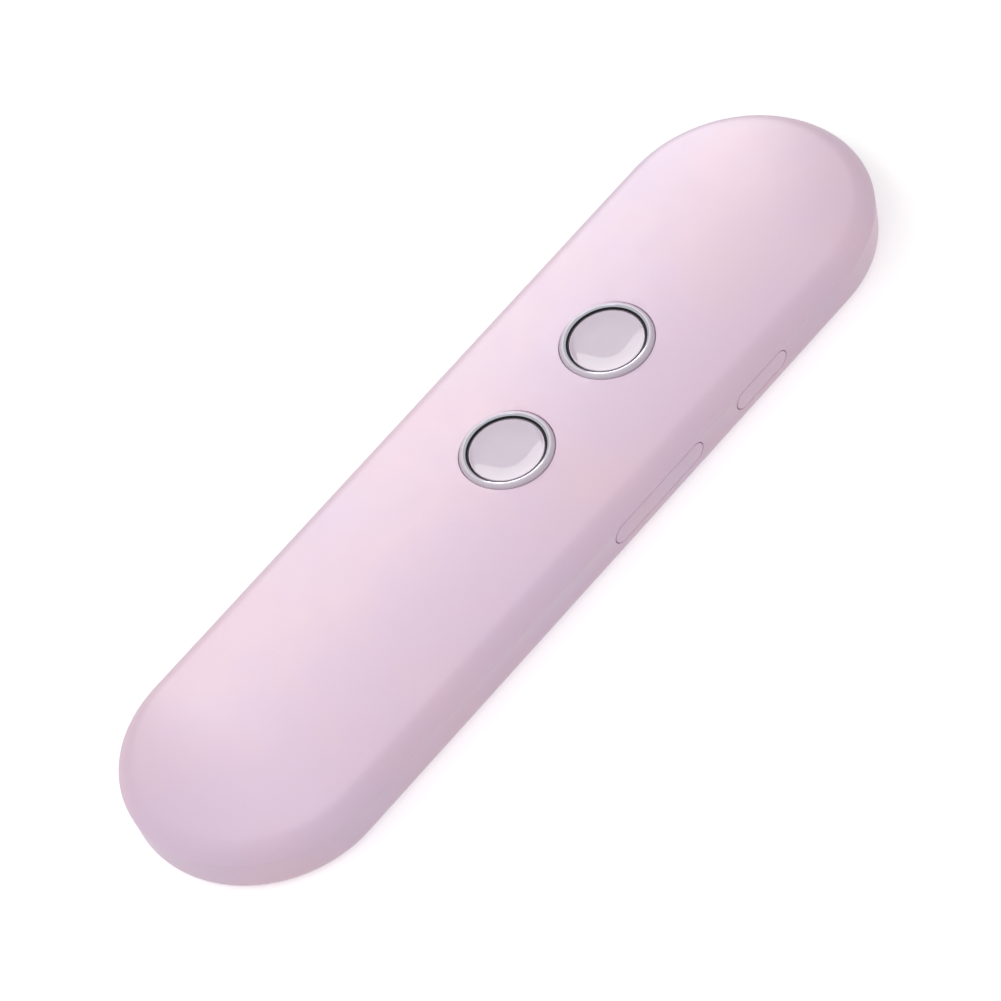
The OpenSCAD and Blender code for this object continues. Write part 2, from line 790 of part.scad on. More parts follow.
module at_speaker() translate([0, speaker_y, speaker_z]) children();

// A dished frame with a rim, a sloping skirt and a flat ledge round the magnet
module speaker_frame() color(chip_black) at_speaker() {
    skirt_r = speaker_r - cone_w;
    rotate_extrude() polygon([
        [speaker_r - rim_w, 0], [speaker_r, 0], [speaker_r, rim_h],
        [skirt_r, speaker_h], [speaker_r - magnet_in, speaker_h],
        [speaker_r - magnet_in, speaker_h + rim_skin - rim_w],
        [skirt_r + rim_skin - rim_w, speaker_h + rim_skin - rim_w], [speaker_r - rim_w, rim_skin],
    ]);
    difference() {
        block(0, speaker_r, rim_h / 2,
            [terminal_size[0], 2 * terminal_size[1], terminal_top - rim_h / 2]);
        ring(speaker_r - rim_w / 2, 0, -1, far);
    }
}

module speaker_magnet() color(steel) at_speaker()
    ring(speaker_r - magnet_in - fit_gap, 0, rim_skin, speaker_h + magnet_out);

// A thin film with a raised middle and a lifted edge
module speaker_diaphragm() color(carrier) at_speaker() {
    dome_r = 2.5;
    edge_r = speaker_r - rim_w - fit_gap;
    line = [[0, 2], [dome_r, 2], [dome_r + 1, 0], [speaker_r - cone_w, 0], [edge_r, 1]];
    rotate_extrude() polygon(concat(
        [for (p = line) [p[0], film_z + p[1] * film_t]],
        [for (i = [len(line) - 1:-1:0]) [line[i][0], film_z + (line[i][1] + 1) * film_t]]
    ));
}

module speaker_gasket() color(rubber) translate([0, speaker_y, 0])
    ring(speaker_r, speaker_r - rim_w, floor_t + mesh_t, speaker_z);

module speaker_mesh() color(carrier) translate([0, speaker_y, 0])
    ring(speaker_r, 0, floor_t, floor_t + mesh_t);

// Two wires that run side by side past the battery, from the speaker to the board
module speaker_leads() color("red") for (k = [0, 1]) {
    run_x = -(battery_w / 2 + lead_start + lead_step * k);
    y0 = speaker_y + speaker_r + terminal_size[1] / 2 + lead_step * (0.5 - k);
    y1 = board_low_y + lead_r + lead_step * k;
    bend = lead_bend_r;
    translate([-terminal_size[0] / 2, y0, lead_z]) rotate([0, -90, 0])
        cylinder(r = lead_r, h = -terminal_size[0] / 2 - run_x - bend);
    translate([run_x + bend, y0 + bend, lead_z]) rotate([0, 0, 180])
        rotate_extrude(angle = 90) translate([bend, 0]) circle(lead_r);
    translate([run_x, y0 + bend, lead_z]) rotate([-90, 0, 0])
        cylinder(r = lead_r, h = y1 - y0 - 2 * bend);
    translate([run_x + bend, y1 - bend, lead_z]) rotate([0, 0, 90])
        rotate_extrude(angle = 90) translate([bend, 0]) circle(lead_r);
    translate([run_x + bend, y1, lead_z]) rotate([0, 90, 0])
        cylinder(r = lead_r, h = lead_end_l);
}

// ---- the sub-parts by name ----

front_shell();
back_shell();
trim_ring(0);  // upper_trim_ring
trim_ring(1);  // lower_trim_ring
button_cap(0);  // upper_button_cap
button_base(0);  // upper_button_base
switch_plunger(0);  // upper_switch_plunger
button_cap(1);  // lower_button_cap
button_base(1);  // lower_button_base
switch_plunger(1);  // lower_switch_plunger
switch_frame(0);  // upper_switch_frame
switch_frame(1);  // lower_switch_frame
power_key();
side_plunger(power_key_y);  // power_switch_plunger
side_switch(power_key_y);  // power_switch
volume_key();
side_plunger(volume_key_y + volume_switch_dy);  // volume_up_plunger
side_plunger(volume_key_y - volume_switch_dy);  // volume_down_plunger
side_switch(volume_key_y + volume_switch_dy);  // volume_up_switch
side_switch(volume_key_y - volume_switch_dy);  // volume_down_switch
rocker_pin();
main_board();
board_screws();
shield_can();
processor_chip();
memory_chip();
power_chip();
antenna();
port_shell();
port_tongue();
microphone();
microphone_boot();
battery_cell();
battery_pad();
battery_guard_board();
battery_leads();
battery_plug();
battery_socket();
speaker_frame();
speaker_magnet();
speaker_diaphragm();
speaker_gasket();
speaker_mesh();
speaker_leads();
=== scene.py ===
"""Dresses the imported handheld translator: shells, ring buttons, side keys, socket, sound grille and studio.

Meshes are modelled in millimetres and turned into metres when they become pieces. The frame's axes are
kept: X runs across the body towards the side keys, Y along it towards the top end, Z up out of the domed
front. Lengths are in millimetres and angles in degrees, unless a name or a docstring says otherwise.
"""

from __future__ import annotations

import json
import logging
import math
from dataclasses import dataclass
from enum import Enum
from typing import Callable, Iterable, Protocol, Sequence

import bmesh
import bpy
from mathutils import Matrix, Vector

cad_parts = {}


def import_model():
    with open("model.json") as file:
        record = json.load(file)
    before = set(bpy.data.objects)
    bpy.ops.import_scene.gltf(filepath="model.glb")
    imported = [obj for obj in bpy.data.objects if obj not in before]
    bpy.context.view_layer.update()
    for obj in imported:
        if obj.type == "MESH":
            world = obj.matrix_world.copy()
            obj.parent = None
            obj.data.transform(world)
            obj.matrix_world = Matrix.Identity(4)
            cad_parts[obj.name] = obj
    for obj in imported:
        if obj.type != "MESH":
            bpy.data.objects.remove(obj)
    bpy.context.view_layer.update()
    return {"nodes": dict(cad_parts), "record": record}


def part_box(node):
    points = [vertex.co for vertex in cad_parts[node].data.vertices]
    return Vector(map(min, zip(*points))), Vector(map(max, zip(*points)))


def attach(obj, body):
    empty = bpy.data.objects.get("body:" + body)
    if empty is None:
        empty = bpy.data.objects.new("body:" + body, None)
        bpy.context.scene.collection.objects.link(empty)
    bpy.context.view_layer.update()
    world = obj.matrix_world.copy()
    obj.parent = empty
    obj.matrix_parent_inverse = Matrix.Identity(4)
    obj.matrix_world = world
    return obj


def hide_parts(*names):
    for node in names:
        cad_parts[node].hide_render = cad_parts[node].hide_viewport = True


log = logging.getLogger("translator")

MM = 0.001  # a millimetre, in metres
MERGE = 1e-3  # vertices nearer than this, in millimetres, become one
SHARP_ANGLE = math.radians(30)  # edges bent more than this are shaded sharp
LIP_ANGLE = math.radians(55)  # edges bent more than this can be a lip's
LIP_REACH = 0.01  # how near a lip its vertices lie
PAST = 1.0  # how far a cutter starts before what it cuts
FAR = 12.0  # a level above the whole body
NOISE_SPAN = (0.3, 0.7)  # the stretch that most noise values lie in
NARROW_SPAN = (0.35, 0.65)  # a shorter one, for blotches with clearer edges

Colour = tuple[float, float, float]
Pair = tuple[float, float]
Inputs = dict[str | int, object]
Material = bpy.types.Material
Socket = bpy.types.NodeSocket
Mesh = bmesh.types.BMesh
Element = bmesh.types.BMVert | bmesh.types.BMEdge | bmesh.types.BMFace


class Body(Enum):
    """The CAD bodies that pieces ride on."""

    HOUSING = "housing"
    UPPER_BUTTON = "upper_button"
    LOWER_BUTTON = "lower_button"
    POWER_BUTTON = "power_button"
    VOLUME_ROCKER = "volume_rocker"


class Talk(Enum):
    """The talk buttons, by the first word of their CAD nodes and of their body."""

    UPPER = "upper"
    LOWER = "lower"


class Key(Enum):
    """The keys in the side wall, by their CAD node."""

    POWER = "power_key"
    VOLUME = "volume_key"


class Way(Enum):
    """The ways in which one solid can meet another."""

    CUT = "DIFFERENCE"
    JOIN = "UNION"
    SHARE = "INTERSECT"


class Shine(Enum):
    """What a lamp lights."""

    EVEN = "matt light alone"
    GLOSS = "reflections alone"


class Slot(Enum):
    """The record's material slots."""

    PEARL_SHELL = "pearl_shell"
    SATIN_TRIM = "satin_trim"
    GLOSS_CAP = "gloss_cap"
    CARRIER_PLASTIC = "carrier_plastic"
    WHITE_PLASTIC = "white_plastic"
    SHEET_STEEL = "sheet_steel"
    TURNED_STEEL = "turned_steel"
    BOARD_LAMINATE = "board_laminate"
    CHIP_RESIN = "chip_resin"
    BLACK_NYLON = "black_nylon"
    BATTERY_FOIL = "battery_foil"
    ADHESIVE_FOAM = "adhesive_foam"
    BOOT_RUBBER = "boot_rubber"
    MESH_CLOTH = "mesh_cloth"
    CONE_FILM = "cone_film"
    LEAD_INSULATION = "lead_insulation"


# ---------------------------------------------------------------- finishes


class Graph:
    """The node tree of a material or of the world, with short calls that add nodes and join them."""

    def __init__(self, owner: Material | bpy.types.World) -> None:
        """Starts with an empty tree.

        Args:
            owner: The material or the world.
        """
        self.owner = owner
        owner.use_nodes = True
        self.tree = owner.node_tree
        self.tree.nodes.clear()

    def add(self, kind: str, inputs: Inputs | None = None, **settings: object) -> bpy.types.Node:
        """Adds a node.

        Args:
            kind: Blender's name of the node's type.
            inputs: Values or sockets for the node's inputs, by name or number.
            **settings: Values for the node's own properties.

        Returns:
            The new node.
        """
        node = self.tree.nodes.new(kind)
        for key, value in settings.items():
            setattr(node, key, value)
        for key, value in (inputs or {}).items():
            if isinstance(value, Socket):
                self.tree.links.new(value, node.inputs[key])
            else:
                node.inputs[key].default_value = value
        return node

    def place(self, scale: Sequence[float] = (1, 1, 1)) -> Socket:
        """The piece's own coordinates, in metres, stretched.

        Args:
            scale: Stretch along each axis.

        Returns:
            The vector socket.
        """
        here = self.add("ShaderNodeTexCoord").outputs["Object"]
        return self.add("ShaderNodeMapping", {"Vector": here, "Scale": scale}).outputs["Vector"]

    def noise(self, size_mm: float, detail: float = 2.0, at: Socket | None = None) -> Socket:
        """Noise with blotches of a given size.

        Args:
            size_mm: Size of a blotch.
            detail: How many finer layers it has.
            at: Where it is read, or None for the piece's own coordinates.

        Returns:
            The noise's value.
        """
        inputs: Inputs = {"Vector": at or self.place(), "Scale": 1 / (size_mm * MM), "Detail": detail}
        return self.add("ShaderNodeTexNoise", inputs).outputs["Fac"]

    def greatest(self, *values: Socket) -> Socket:
        """The greatest of some values.

        Args:
            *values: The values.

        Returns:
            The greatest.
        """
        most = values[0]
        for value in values[1:]:
            most = self.add("ShaderNodeMath", {0: most, 1: value}, operation="MAXIMUM").outputs["Value"]
        return most

    def ramp(self, value: Socket, low: float, high: float, to_low: float = 0.0,
             to_high: float = 1.0) -> Socket:
        """Spreads a stretch of a value over another stretch.

        Args:
            value: The value.
            low: Start of the stretch that is read.
            high: End of the stretch that is read.
            to_low: What the start becomes.
            to_high: What the end becomes.

        Returns:
            The new value.
        """
        inputs: Inputs = {
            "Value": value, "From Min": low, "From Max": high, "To Min": to_low, "To Max": to_high,
        }
        return self.add("ShaderNodeMapRange", inputs).outputs["Result"]

    def vary(self, noise: Socket, low: float = 0.0, high: float = 1.0) -> Socket:
        """Spreads noise between two levels.

        Args:
            noise: The noise.
            low: The lower level.
            high: The upper level.

        Returns:
            The new value.
        """
        return self.ramp(noise, *NOISE_SPAN, low, high)

    def blend(self, share: Socket, first: Colour, second: Colour) -> Socket:
        """Mixes two colours.

        Args:
            share: How much of the second there is.
            first: The first colour.
            second: The second colour.

        Returns:
            The mixed colour.
        """
        node = self.add("ShaderNodeMix", {0: share}, data_type="RGBA")
        node.inputs[6].default_value = (*first, 1.0)
        node.inputs[7].default_value = (*second, 1.0)
        return node.outputs[2]

    def shade(self, share: Socket, colour: Colour, level: float) -> Socket:
        """A colour that gets darker where a value is high.

        Args:
            share: The value, from 0 to 1.
            colour: The colour.
            level: What is left of it where the value is 1.

        Returns:
            The shaded colour.
        """
        return self.blend(share, colour, tuple(level * c for c in colour))

    def bump(self, height: Socket, depth_mm: float, under: Socket | None = None) -> Socket:
        """Turns a height into a normal.

        Args:
            height: The height, from 0 to 1.
            depth_mm: What a height of 1 stands for.
            under: The normal of a coarser bump that this one lies on.

        Returns:
            The normal.
        """
        inputs: Inputs = {"Height": height, "Distance": depth_mm * MM, "Strength": 1.0}
        if under is not None:
            inputs["Normal"] = under
        return self.add("ShaderNodeBump", inputs).outputs["Normal"]

    def finish(self, inputs: Inputs) -> Material:
        """Joins the surface shader to the output.

        Args:
            inputs: Values or sockets for the shader's named inputs.

        Returns:
            The material.
        """
        shader = self.add("ShaderNodeBsdfPrincipled", inputs)
        self.add("ShaderNodeOutputMaterial", {"Surface": shader.outputs["BSDF"]})
        return self.owner


class Finish(Protocol):
    """What every finish has: a name, and a way to make its material."""

    @property
    def name(self) -> str:
        """The material's name."""

    def material(self) -> Material:
        """Builds the node material."""


@dataclass(frozen=True)
class PearlPaint:
    """Satin pearl paint: pink and lilac mica in soft clouds, with a fine orange-peel surface."""

    name: str = "pearl_paint"
    pink: Colour = (0.885, 0.635, 0.76)
    lilac: Colour = (0.83, 0.625, 0.795)
    cloud_mm: float = 20.0
    cloud_span: Pair = (0.36, 0.64)
    mica_mm: float = 0.11
    mica_levels: Pair = (0.985, 1.015)
    peel_mm: float = 0.6
    peel_depth_mm: float = 0.0005
    roughness: float = 0.4
    rough_mm: float = 2.4
    rough_by: float = 0.03
    refraction: float = 1.62

    def material(self) -> Material:
        """Builds the node material.

        Returns:
            The material.
        """
        g = Graph(bpy.data.materials.new(self.name))
        body = g.blend(g.ramp(g.noise(self.cloud_mm, 3.0), *self.cloud_span), self.pink, self.lilac)
        cells = g.add("ShaderNodeTexVoronoi", {"Vector": g.place(), "Scale": 1 / (self.mica_mm * MM)})
        flake = g.ramp(cells.outputs["Color"], 0.0, 1.0, *self.mica_levels)
        tinted = g.add("ShaderNodeVectorMath", {0: body, "Scale": flake}, operation="SCALE")
        low, high = self.roughness - self.rough_by, self.roughness + self.rough_by
        return g.finish({
            "Base Color": tinted.outputs["Vector"],
            "Roughness": g.vary(g.noise(self.rough_mm, 4.0), low, high),
            "Normal": g.bump(g.noise(self.peel_mm), self.peel_depth_mm),
            "IOR": self.refraction,
        })


@dataclass(frozen=True)
class PlatedMetal:
    """Plated metal with smudges, and faint turning marks round the vertical axis."""

    name: str
    tint: Colour
    roughness: float
    metallic: float = 1.0
    mark_mm: float = 0.05
    mark_depth_mm: float = 0.0004
    mark_stretch: tuple[float, float, float] = (0.12, 0.12, 1.0)
    smudge_mm: float = 3.0
    smudge_share: float = 0.35
    smudge_level: float = 0.93
    smudge_rough: Pair = (0.9, 1.1)

    def material(self) -> Material:
        """Builds the node material.

        Returns:
            The material.
        """
        g = Graph(bpy.data.materials.new(self.name))
        marks = g.noise(self.mark_mm, 2.0, g.place(self.mark_stretch))
        smudge = g.noise(self.smudge_mm, 3.0)
        share = g.ramp(smudge, *NARROW_SPAN, 0.0, self.smudge_share)
        return g.finish({
            "Base Color": g.shade(share, self.tint, self.smudge_level),
            "Metallic": self.metallic,
            "Roughness": g.vary(smudge, *(self.roughness * by for by in self.smudge_rough)),
            "Normal": g.bump(marks, self.mark_depth_mm),
        })


@dataclass(frozen=True)
class Lacquer:
    """Smooth coloured lacquer with a slight wave in it, with or without a clear gloss coat."""

    name: str
    tint: Colour
    roughness: float
    coat: float
    coat_roughness: float = 0.02
    gloss: float = 0.3
    wave_mm: float = 2.2
    wave_depth_mm: float = 0.0006
    patch_mm: float = 3.5
    patch_level: float = 0.97

    def material(self) -> Material:
        """Builds the node material.

        Returns:
            The material.
        """
        g = Graph(bpy.data.materials.new(self.name))
        patch = g.ramp(g.noise(self.patch_mm), *NARROW_SPAN)
        wave = g.bump(g.noise(self.wave_mm, 1.0), self.wave_depth_mm)
        return g.finish({
            "Base Color": g.shade(patch, self.tint, self.patch_level),
            "Roughness": self.roughness,
            "Specular IOR Level": self.gloss,
            "Coat Weight": self.coat,
            "Coat Roughness": self.coat_roughness,
            "Normal": wave,
            "Coat Normal": wave,
        })


@dataclass(frozen=True)
class MouldedPlastic:
    """Moulded plastic, rubber or foam with a grain."""

    name: str
    tint: Colour
    roughness: float
    grain_mm: float = 0.08
    grain_depth_mm: float = 0.002
    rough_by: float = 0.05
    patch_mm: float = 4.0
    patch_level: float = 0.92

    def material(self) -> Material:
        """Builds the node material.

        Returns:
            The material.
        """
        g = Graph(bpy.data.materials.new(self.name))
        grain = g.noise(self.grain_mm, 3.0)
        return g.finish({
            "Base Color": g.shade(g.vary(g.noise(self.patch_mm, 3.0)), self.tint, self.patch_level),
            "Roughness": g.vary(grain, self.roughness - self.rough_by, self.roughness + self.rough_by),
            "Normal": g.bump(grain, self.grain_depth_mm),
        })


@dataclass(frozen=True)
class RolledSheet:
    """Rolled and tinned sheet metal with marks along its length."""

    name: str = "tinned_sheet"
    tint: Colour = (0.58, 0.59, 0.61)
    rough: Pair = (0.26, 0.40)
    rough_mm: float = 1.5
    mark_mm: float = 0.06
    mark_depth_mm: float = 0.0008
    mark_stretch: tuple[float, float, float] = (1.0, 0.04, 1.0)
    mark_level: float = 0.9

    def material(self) -> Material:
        """Builds the node material.

        Returns:
            The material.
        """
        g = Graph(bpy.data.materials.new(self.name))
        marks = g.noise(self.mark_mm, 3.0, g.place(self.mark_stretch))
        return g.finish({
            "Base Color": g.shade(g.vary(marks), self.tint, self.mark_level),
            "Metallic": 1.0,
            "Roughness": g.vary(g.noise(self.rough_mm, 3.0), *self.rough),
            "Normal": g.bump(marks, self.mark_depth_mm),
        })


@dataclass(frozen=True)
class SolderMask:
    """Green solder mask with copper traces that stand up a little under it."""

    name: str = "solder_mask"
    mask: Colour = (0.012, 0.115, 0.065)
    trace: Colour = (0.03, 0.20, 0.10)
    trace_mm: float = 1.3
    trace_depth_mm: float = 0.02
    weave_mm: float = 0.5
    weave_depth_mm: float = 0.001
    roughness: float = 0.28
    coat: float = 0.3

    def material(self) -> Material:
        """Builds the node material.

        Returns:
            The material.
        """
        g = Graph(bpy.data.materials.new(self.name))
        line = g.add("ShaderNodeTexBrick", {
            "Vector": g.place(), "Scale": 1 / (4 * self.trace_mm * MM), "Mortar Size": 0.03,
            "Brick Width": 0.6, "Row Height": 0.25, "Mortar Smooth": 0.2,
        }).outputs["Fac"]
        weave = g.add("ShaderNodeTexWave", {
            "Vector": g.place(), "Scale": 1 / (self.weave_mm * MM), "Distortion": 1.0,
        }).outputs["Fac"]
        return g.finish({
            "Base Color": g.blend(line, self.mask, self.trace),
            "Roughness": self.roughness,
            "Normal": g.bump(line, self.trace_depth_mm, g.bump(weave, self.weave_depth_mm)),
            "Coat Weight": self.coat,
        })


@dataclass(frozen=True)
class PouchFoil:
    """Laminated silver foil with soft dents and creases."""

    name: str = "pouch_foil"
    tint: Colour = (0.62, 0.63, 0.65)
    metallic: float = 0.9
    roughness: float = 0.3
    dent_mm: float = 5.0
    dent_depth_mm: float = 0.08
    dent_level: float = 0.85
    crease_mm: float = 6.0
    crease_depth_mm: float = 0.01
    crease_w: float = 0.08

    def material(self) -> Material:
        """Builds the node material.

        Returns:
            The material.
        """
        g = Graph(bpy.data.materials.new(self.name))
        dents = g.noise(self.dent_mm, 4.0)
        cells = g.add("ShaderNodeTexVoronoi", {"Vector": g.place(), "Scale": 1 / (self.crease_mm * MM)},
                      feature="DISTANCE_TO_EDGE")
        crease = g.ramp(cells.outputs["Distance"], 0.0, self.crease_w)
        return g.finish({
            "Base Color": g.shade(g.vary(dents), self.tint, self.dent_level),
            "Metallic": self.metallic,
            "Roughness": self.roughness,
            "Normal": g.bump(crease, self.crease_depth_mm, g.bump(dents, self.dent_depth_mm)),
        })


@dataclass(frozen=True)
class DustMesh:
    """Fine woven cloth that keeps dust out of the speaker."""

    name: str = "dust_mesh"
    thread: Colour = (0.055, 0.052, 0.058)
    hole: Colour = (0.004, 0.004, 0.005)
    band_scale: float = 312.5
    thread_span: Pair = (0.35, 0.8)
    thread_depth_mm: float = 0.04
    roughness: float = 0.8

    def material(self) -> Material:
        """Builds the node material.

        Returns:
            The material.
        """
        g = Graph(bpy.data.materials.new(self.name))
        woven = g.greatest(*(
            g.add("ShaderNodeTexWave", {"Vector": g.place(), "Scale": self.band_scale},
                  bands_direction=axis).outputs["Fac"]
            for axis in ("X", "Y")
        ))
        return g.finish({
            "Base Color": g.blend(g.ramp(woven, *self.thread_span), self.hole, self.thread),
            "Roughness": self.roughness,
            "Normal": g.bump(woven, self.thread_depth_mm),
            "Sheen Weight": 0.3,
            "Sheen Roughness": 0.5,
        })


POLISHED_BEVEL = PlatedMetal("polished_bevel", (0.58, 0.58, 0.65), 0.14)
BLACK_SEAT = Lacquer("black_seat", (0.004, 0.003, 0.005), 0.1, 0.0, gloss=0.25)
GOLD_CONTACT = PlatedMetal("gold_contact", (0.83, 0.60, 0.25), 0.25)

FINISHES: dict[Slot, Finish] = {
    Slot.PEARL_SHELL: PearlPaint(),
    Slot.SATIN_TRIM: PlatedMetal("satin_plate", (0.68, 0.605, 0.69), 0.42, 0.06),
    Slot.GLOSS_CAP: Lacquer("cap_lacquer", (0.675, 0.565, 0.675), 0.5, 1.0),
    Slot.CARRIER_PLASTIC: MouldedPlastic("carrier_nylon", (0.09, 0.09, 0.10), 0.55),
    Slot.WHITE_PLASTIC: MouldedPlastic("white_moulding", (0.78, 0.78, 0.75), 0.45),
    Slot.SHEET_STEEL: RolledSheet(),
    Slot.TURNED_STEEL: PlatedMetal("turned_steel", (0.52, 0.53, 0.55), 0.34),
    Slot.BOARD_LAMINATE: SolderMask(),
    Slot.CHIP_RESIN: MouldedPlastic("chip_resin", (0.018, 0.018, 0.020), 0.5, 0.05),
    Slot.BLACK_NYLON: MouldedPlastic("black_nylon", (0.015, 0.015, 0.017), 0.45),
    Slot.BATTERY_FOIL: PouchFoil(),
    Slot.ADHESIVE_FOAM: MouldedPlastic("adhesive_foam", (0.03, 0.03, 0.032), 0.9, 0.25, 0.03),
    Slot.BOOT_RUBBER: MouldedPlastic("silicone_rubber", (0.035, 0.035, 0.038), 0.62, 0.12, 0.004),
    Slot.MESH_CLOTH: DustMesh(),
    Slot.CONE_FILM: MouldedPlastic("cone_film", (0.08, 0.07, 0.06), 0.4, 0.3, 0.004),
    Slot.LEAD_INSULATION: MouldedPlastic("lead_insulation", (0.42, 0.02, 0.015), 0.38, 0.2),
}


class Paintbox:
    """Makes each material once, when it is first asked for."""

    def __init__(self) -> None:
        """Starts with no materials made."""
        self._made: dict[str, Material] = {}

    def of(self, finish: Finish) -> Material:
        """The material of a finish.

        Args:
            finish: The finish.

        Returns:
            Its material.
        """
        if finish.name not in self._made:
            self._made[finish.name] = finish.material()
        return self._made[finish.name]

    def slot(self, slot: Slot) -> Material:
        """The material of a slot.

        Args:
            slot: The record's slot.

        Returns:
            Its material.
        """
        return self.of(FINISHES[slot])


# ---------------------------------------------------------------- mesh helpers


def arc(centre: Pair, radius: float, start: float, stop: float, steps: int) -> list[Vector]:
    """Points of an arc in the XZ plane.

    Args:
        centre: The arc's centre, as X and Z.
        radius: Its radius.
        start: Where it starts, in degrees from +Z towards +X.
        stop: Where it ends.
        steps: How many steps it has.

    Returns:
        The points, both ends included.
    """
    turns = [math.radians(start + (stop - start) * i / steps) for i in range(steps + 1)]
    return [Vector((centre[0] + radius * math.sin(a), 0, centre[1] + radius * math.cos(a))) for a in turns]


def section(*pairs: Pair) -> list[Vector]:
    """Points in the XZ plane.

    Args:
        *pairs: The points' X and Z.

    Returns:
        The points.
    """
    return [Vector((x, 0, z)) for x, z in pairs]


def chain(bm: Mesh, points: Iterable[Vector], closed: bool = False) -> list[Element]:
    """Adds a line of vertices and edges.

    Args:
        bm: The mesh.
        points: The line's points.
        closed: Whether the last point joins the first.

    Returns:
        The vertices and edges.
    """
    verts = [bm.verts.new(p) for p in points]
    ends = verts[1:] + verts[:1] if closed else verts[1:]
    return verts + [bm.edges.new(pair) for pair in zip(verts, ends)]


def only_verts(geom: Iterable[Element]) -> list[bmesh.types.BMVert]:
    """The vertices among some mesh elements.

    Args:
        geom: The elements.

    Returns:
        The vertices.
    """
    return [v for v in geom if isinstance(v, bmesh.types.BMVert)]


def heal(bm: Mesh) -> None:
    """Merges doubles, drops collapsed faces and turns the faces outwards.

    Args:
        bm: The mesh.
    """
    bmesh.ops.remove_doubles(bm, verts=bm.verts, dist=MERGE)
    bmesh.ops.dissolve_degenerate(bm, dist=MERGE / 10, edges=bm.edges)
    loose = [v for v in bm.verts if not v.link_faces]
    bmesh.ops.delete(bm, geom=loose, context="VERTS")
    bmesh.ops.recalc_face_normals(bm, faces=bm.faces)


def turned(points: Sequence[Vector], steps: int, at: Sequence[float] = (0, 0, 0)) -> Mesh:
    """A solid of revolution about an upright axis.

    Args:
        points: Its section, which either starts and ends on the axis or is closed round itself.
        steps: Steps in the full turn.
        at: Where the axis stands.

    Returns:
        The mesh.
    """
    bm = bmesh.new()
    on_axis = points[0].x < MERGE and points[-1].x < MERGE
    geom = chain(bm, points, closed=not on_axis)
    bmesh.ops.spin(bm, geom=geom, cent=(0, 0, 0), axis=(0, 0, 1), dvec=(0, 0, 0),
                   angle=2 * math.pi, steps=steps, use_merge=True, use_normal_flip=False)
    heal(bm)
    bm.transform(Matrix.Translation(at))
    return bm


def rod(start: Sequence[float], run: Sequence[float], radius: float, steps: int = 32) -> Mesh:
    """A round rod.

    Args:
        start: The middle of its first end.
        run: The way from there to its other end.
        radius: Its radius.
        steps: Steps round it.

    Returns:
        The mesh.
    """
    bm = bmesh.new()
    line = Vector(run)
    turn = Vector((0, 0, 1)).rotation_difference(line).to_matrix().to_4x4()
    place = Matrix.Translation(Vector(start) + line / 2) @ turn
    bmesh.ops.create_cone(bm, cap_ends=True, segments=steps, radius1=radius, radius2=radius,
                          depth=line.length, matrix=place)
    return bm


def prism(outline: Iterable[Vector], run: Sequence[float]) -> Mesh:
    """A flat outline carried along a straight way.

    Args:
        outline: The outline's points, in one plane.
        run: The way.

    Returns:
        The mesh.
    """
    bm = bmesh.new()
    face = bm.faces.new(only_verts(chain(bm, outline, closed=True)))
    grown = bmesh.ops.extrude_face_region(bm, geom=[face])["geom"]
    bmesh.ops.translate(bm, vec=run, verts=only_verts(grown))
    heal(bm)
    return bm


def stadium(length: float, height: float, steps: int = 16) -> list[Vector]:
    """A straight bar with two round ends, in the YZ plane.

    Args:
        length: Its length along Y.
        height: Its height along Z.
        steps: Steps in each round end.

    Returns:
        Its points.
    """
    half = height / 2
    centre = length / 2 - half
    turns = [math.pi * i / steps for i in range(steps + 1)]
    return [Vector((0, side * (centre + half * math.sin(a)), side * half * math.cos(a)))
            for side in (1, -1) for a in turns]


def upright(width: float, height: float, z: float, y: float, steps: int = 16) -> list[Vector]:
    """A stadium that stands across the body.

    Args:
        width: Its width.
        height: Its height.
        z: Its middle's level.
        y: Its place along the body.
        steps: Steps in each round end.

    Returns:
        Its points.
    """
    return [Vector((p.y, y, p.z + z)) for p in stadium(width, height, steps)]


def box_solid(low: Sequence[float], high: Sequence[float], round_edge: float = 0.0) -> Mesh:
    """A box between two corners, with rounded edges.

    Args:
        low: Its lowest corner.
        high: Its highest corner.
        round_edge: Width of the rounding, or 0 for none.

    Returns:
        The mesh.
    """
    bm = bmesh.new()
    size = Vector(high) - Vector(low)
    middle = (Vector(high) + Vector(low)) / 2
    bmesh.ops.create_cube(bm, size=1, matrix=Matrix.Translation(middle) @ Matrix.Diagonal((*size, 1)))
    if round_edge > 0:
        round_edges(bm, bm.edges[:], round_edge)
    return bm


def block(x: float, y: float, low: float, high: float, size: Pair,
          round_edge: float = 0.0) -> Mesh:
    """A box given by its middle, its two levels and its size across.

    Args:
        x: Its middle.
        y: Its middle.
        low: Its lower level.
        high: Its upper level.
        size: Its size along X and Y.
        round_edge: Width of the rounding of its edges, or 0 for none.

    Returns:
        The mesh.
    """
    half_x, half_y = size[0] / 2, size[1] / 2
    return box_solid((x - half_x, y - half_y, low), (x + half_x, y + half_y, high), round_edge)


def round_edges(bm: Mesh, edges: Iterable[bmesh.types.BMEdge], width: float, steps: int = 3) -> None:
    """Rounds edges.

    Args:
        bm: The mesh.
        edges: The edges.
        width: Width of the rounding.
        steps: Steps across it.
    """
    bmesh.ops.bevel(bm, geom=list(edges), offset=width, segments=steps, profile=0.5,
                    affect="EDGES", material=-1, clamp_overlap=True)


def round_lips(bm: Mesh, on_lip: Callable[[Vector], bool], width: float, steps: int = 2) -> None:
    """Rounds the sharp edges whose ends both lie on a lip.

    Args:
        bm: The mesh.
        on_lip: Says whether a point lies on the lip.
        width: Width of the rounding.
        steps: Steps across it.
    """
    lips = [e for e in bm.edges if len(e.link_faces) == 2 and e.calc_face_angle(0.0) > LIP_ANGLE
            and all(on_lip(v.co) for v in e.verts)]
    round_edges(bm, lips, width, steps)


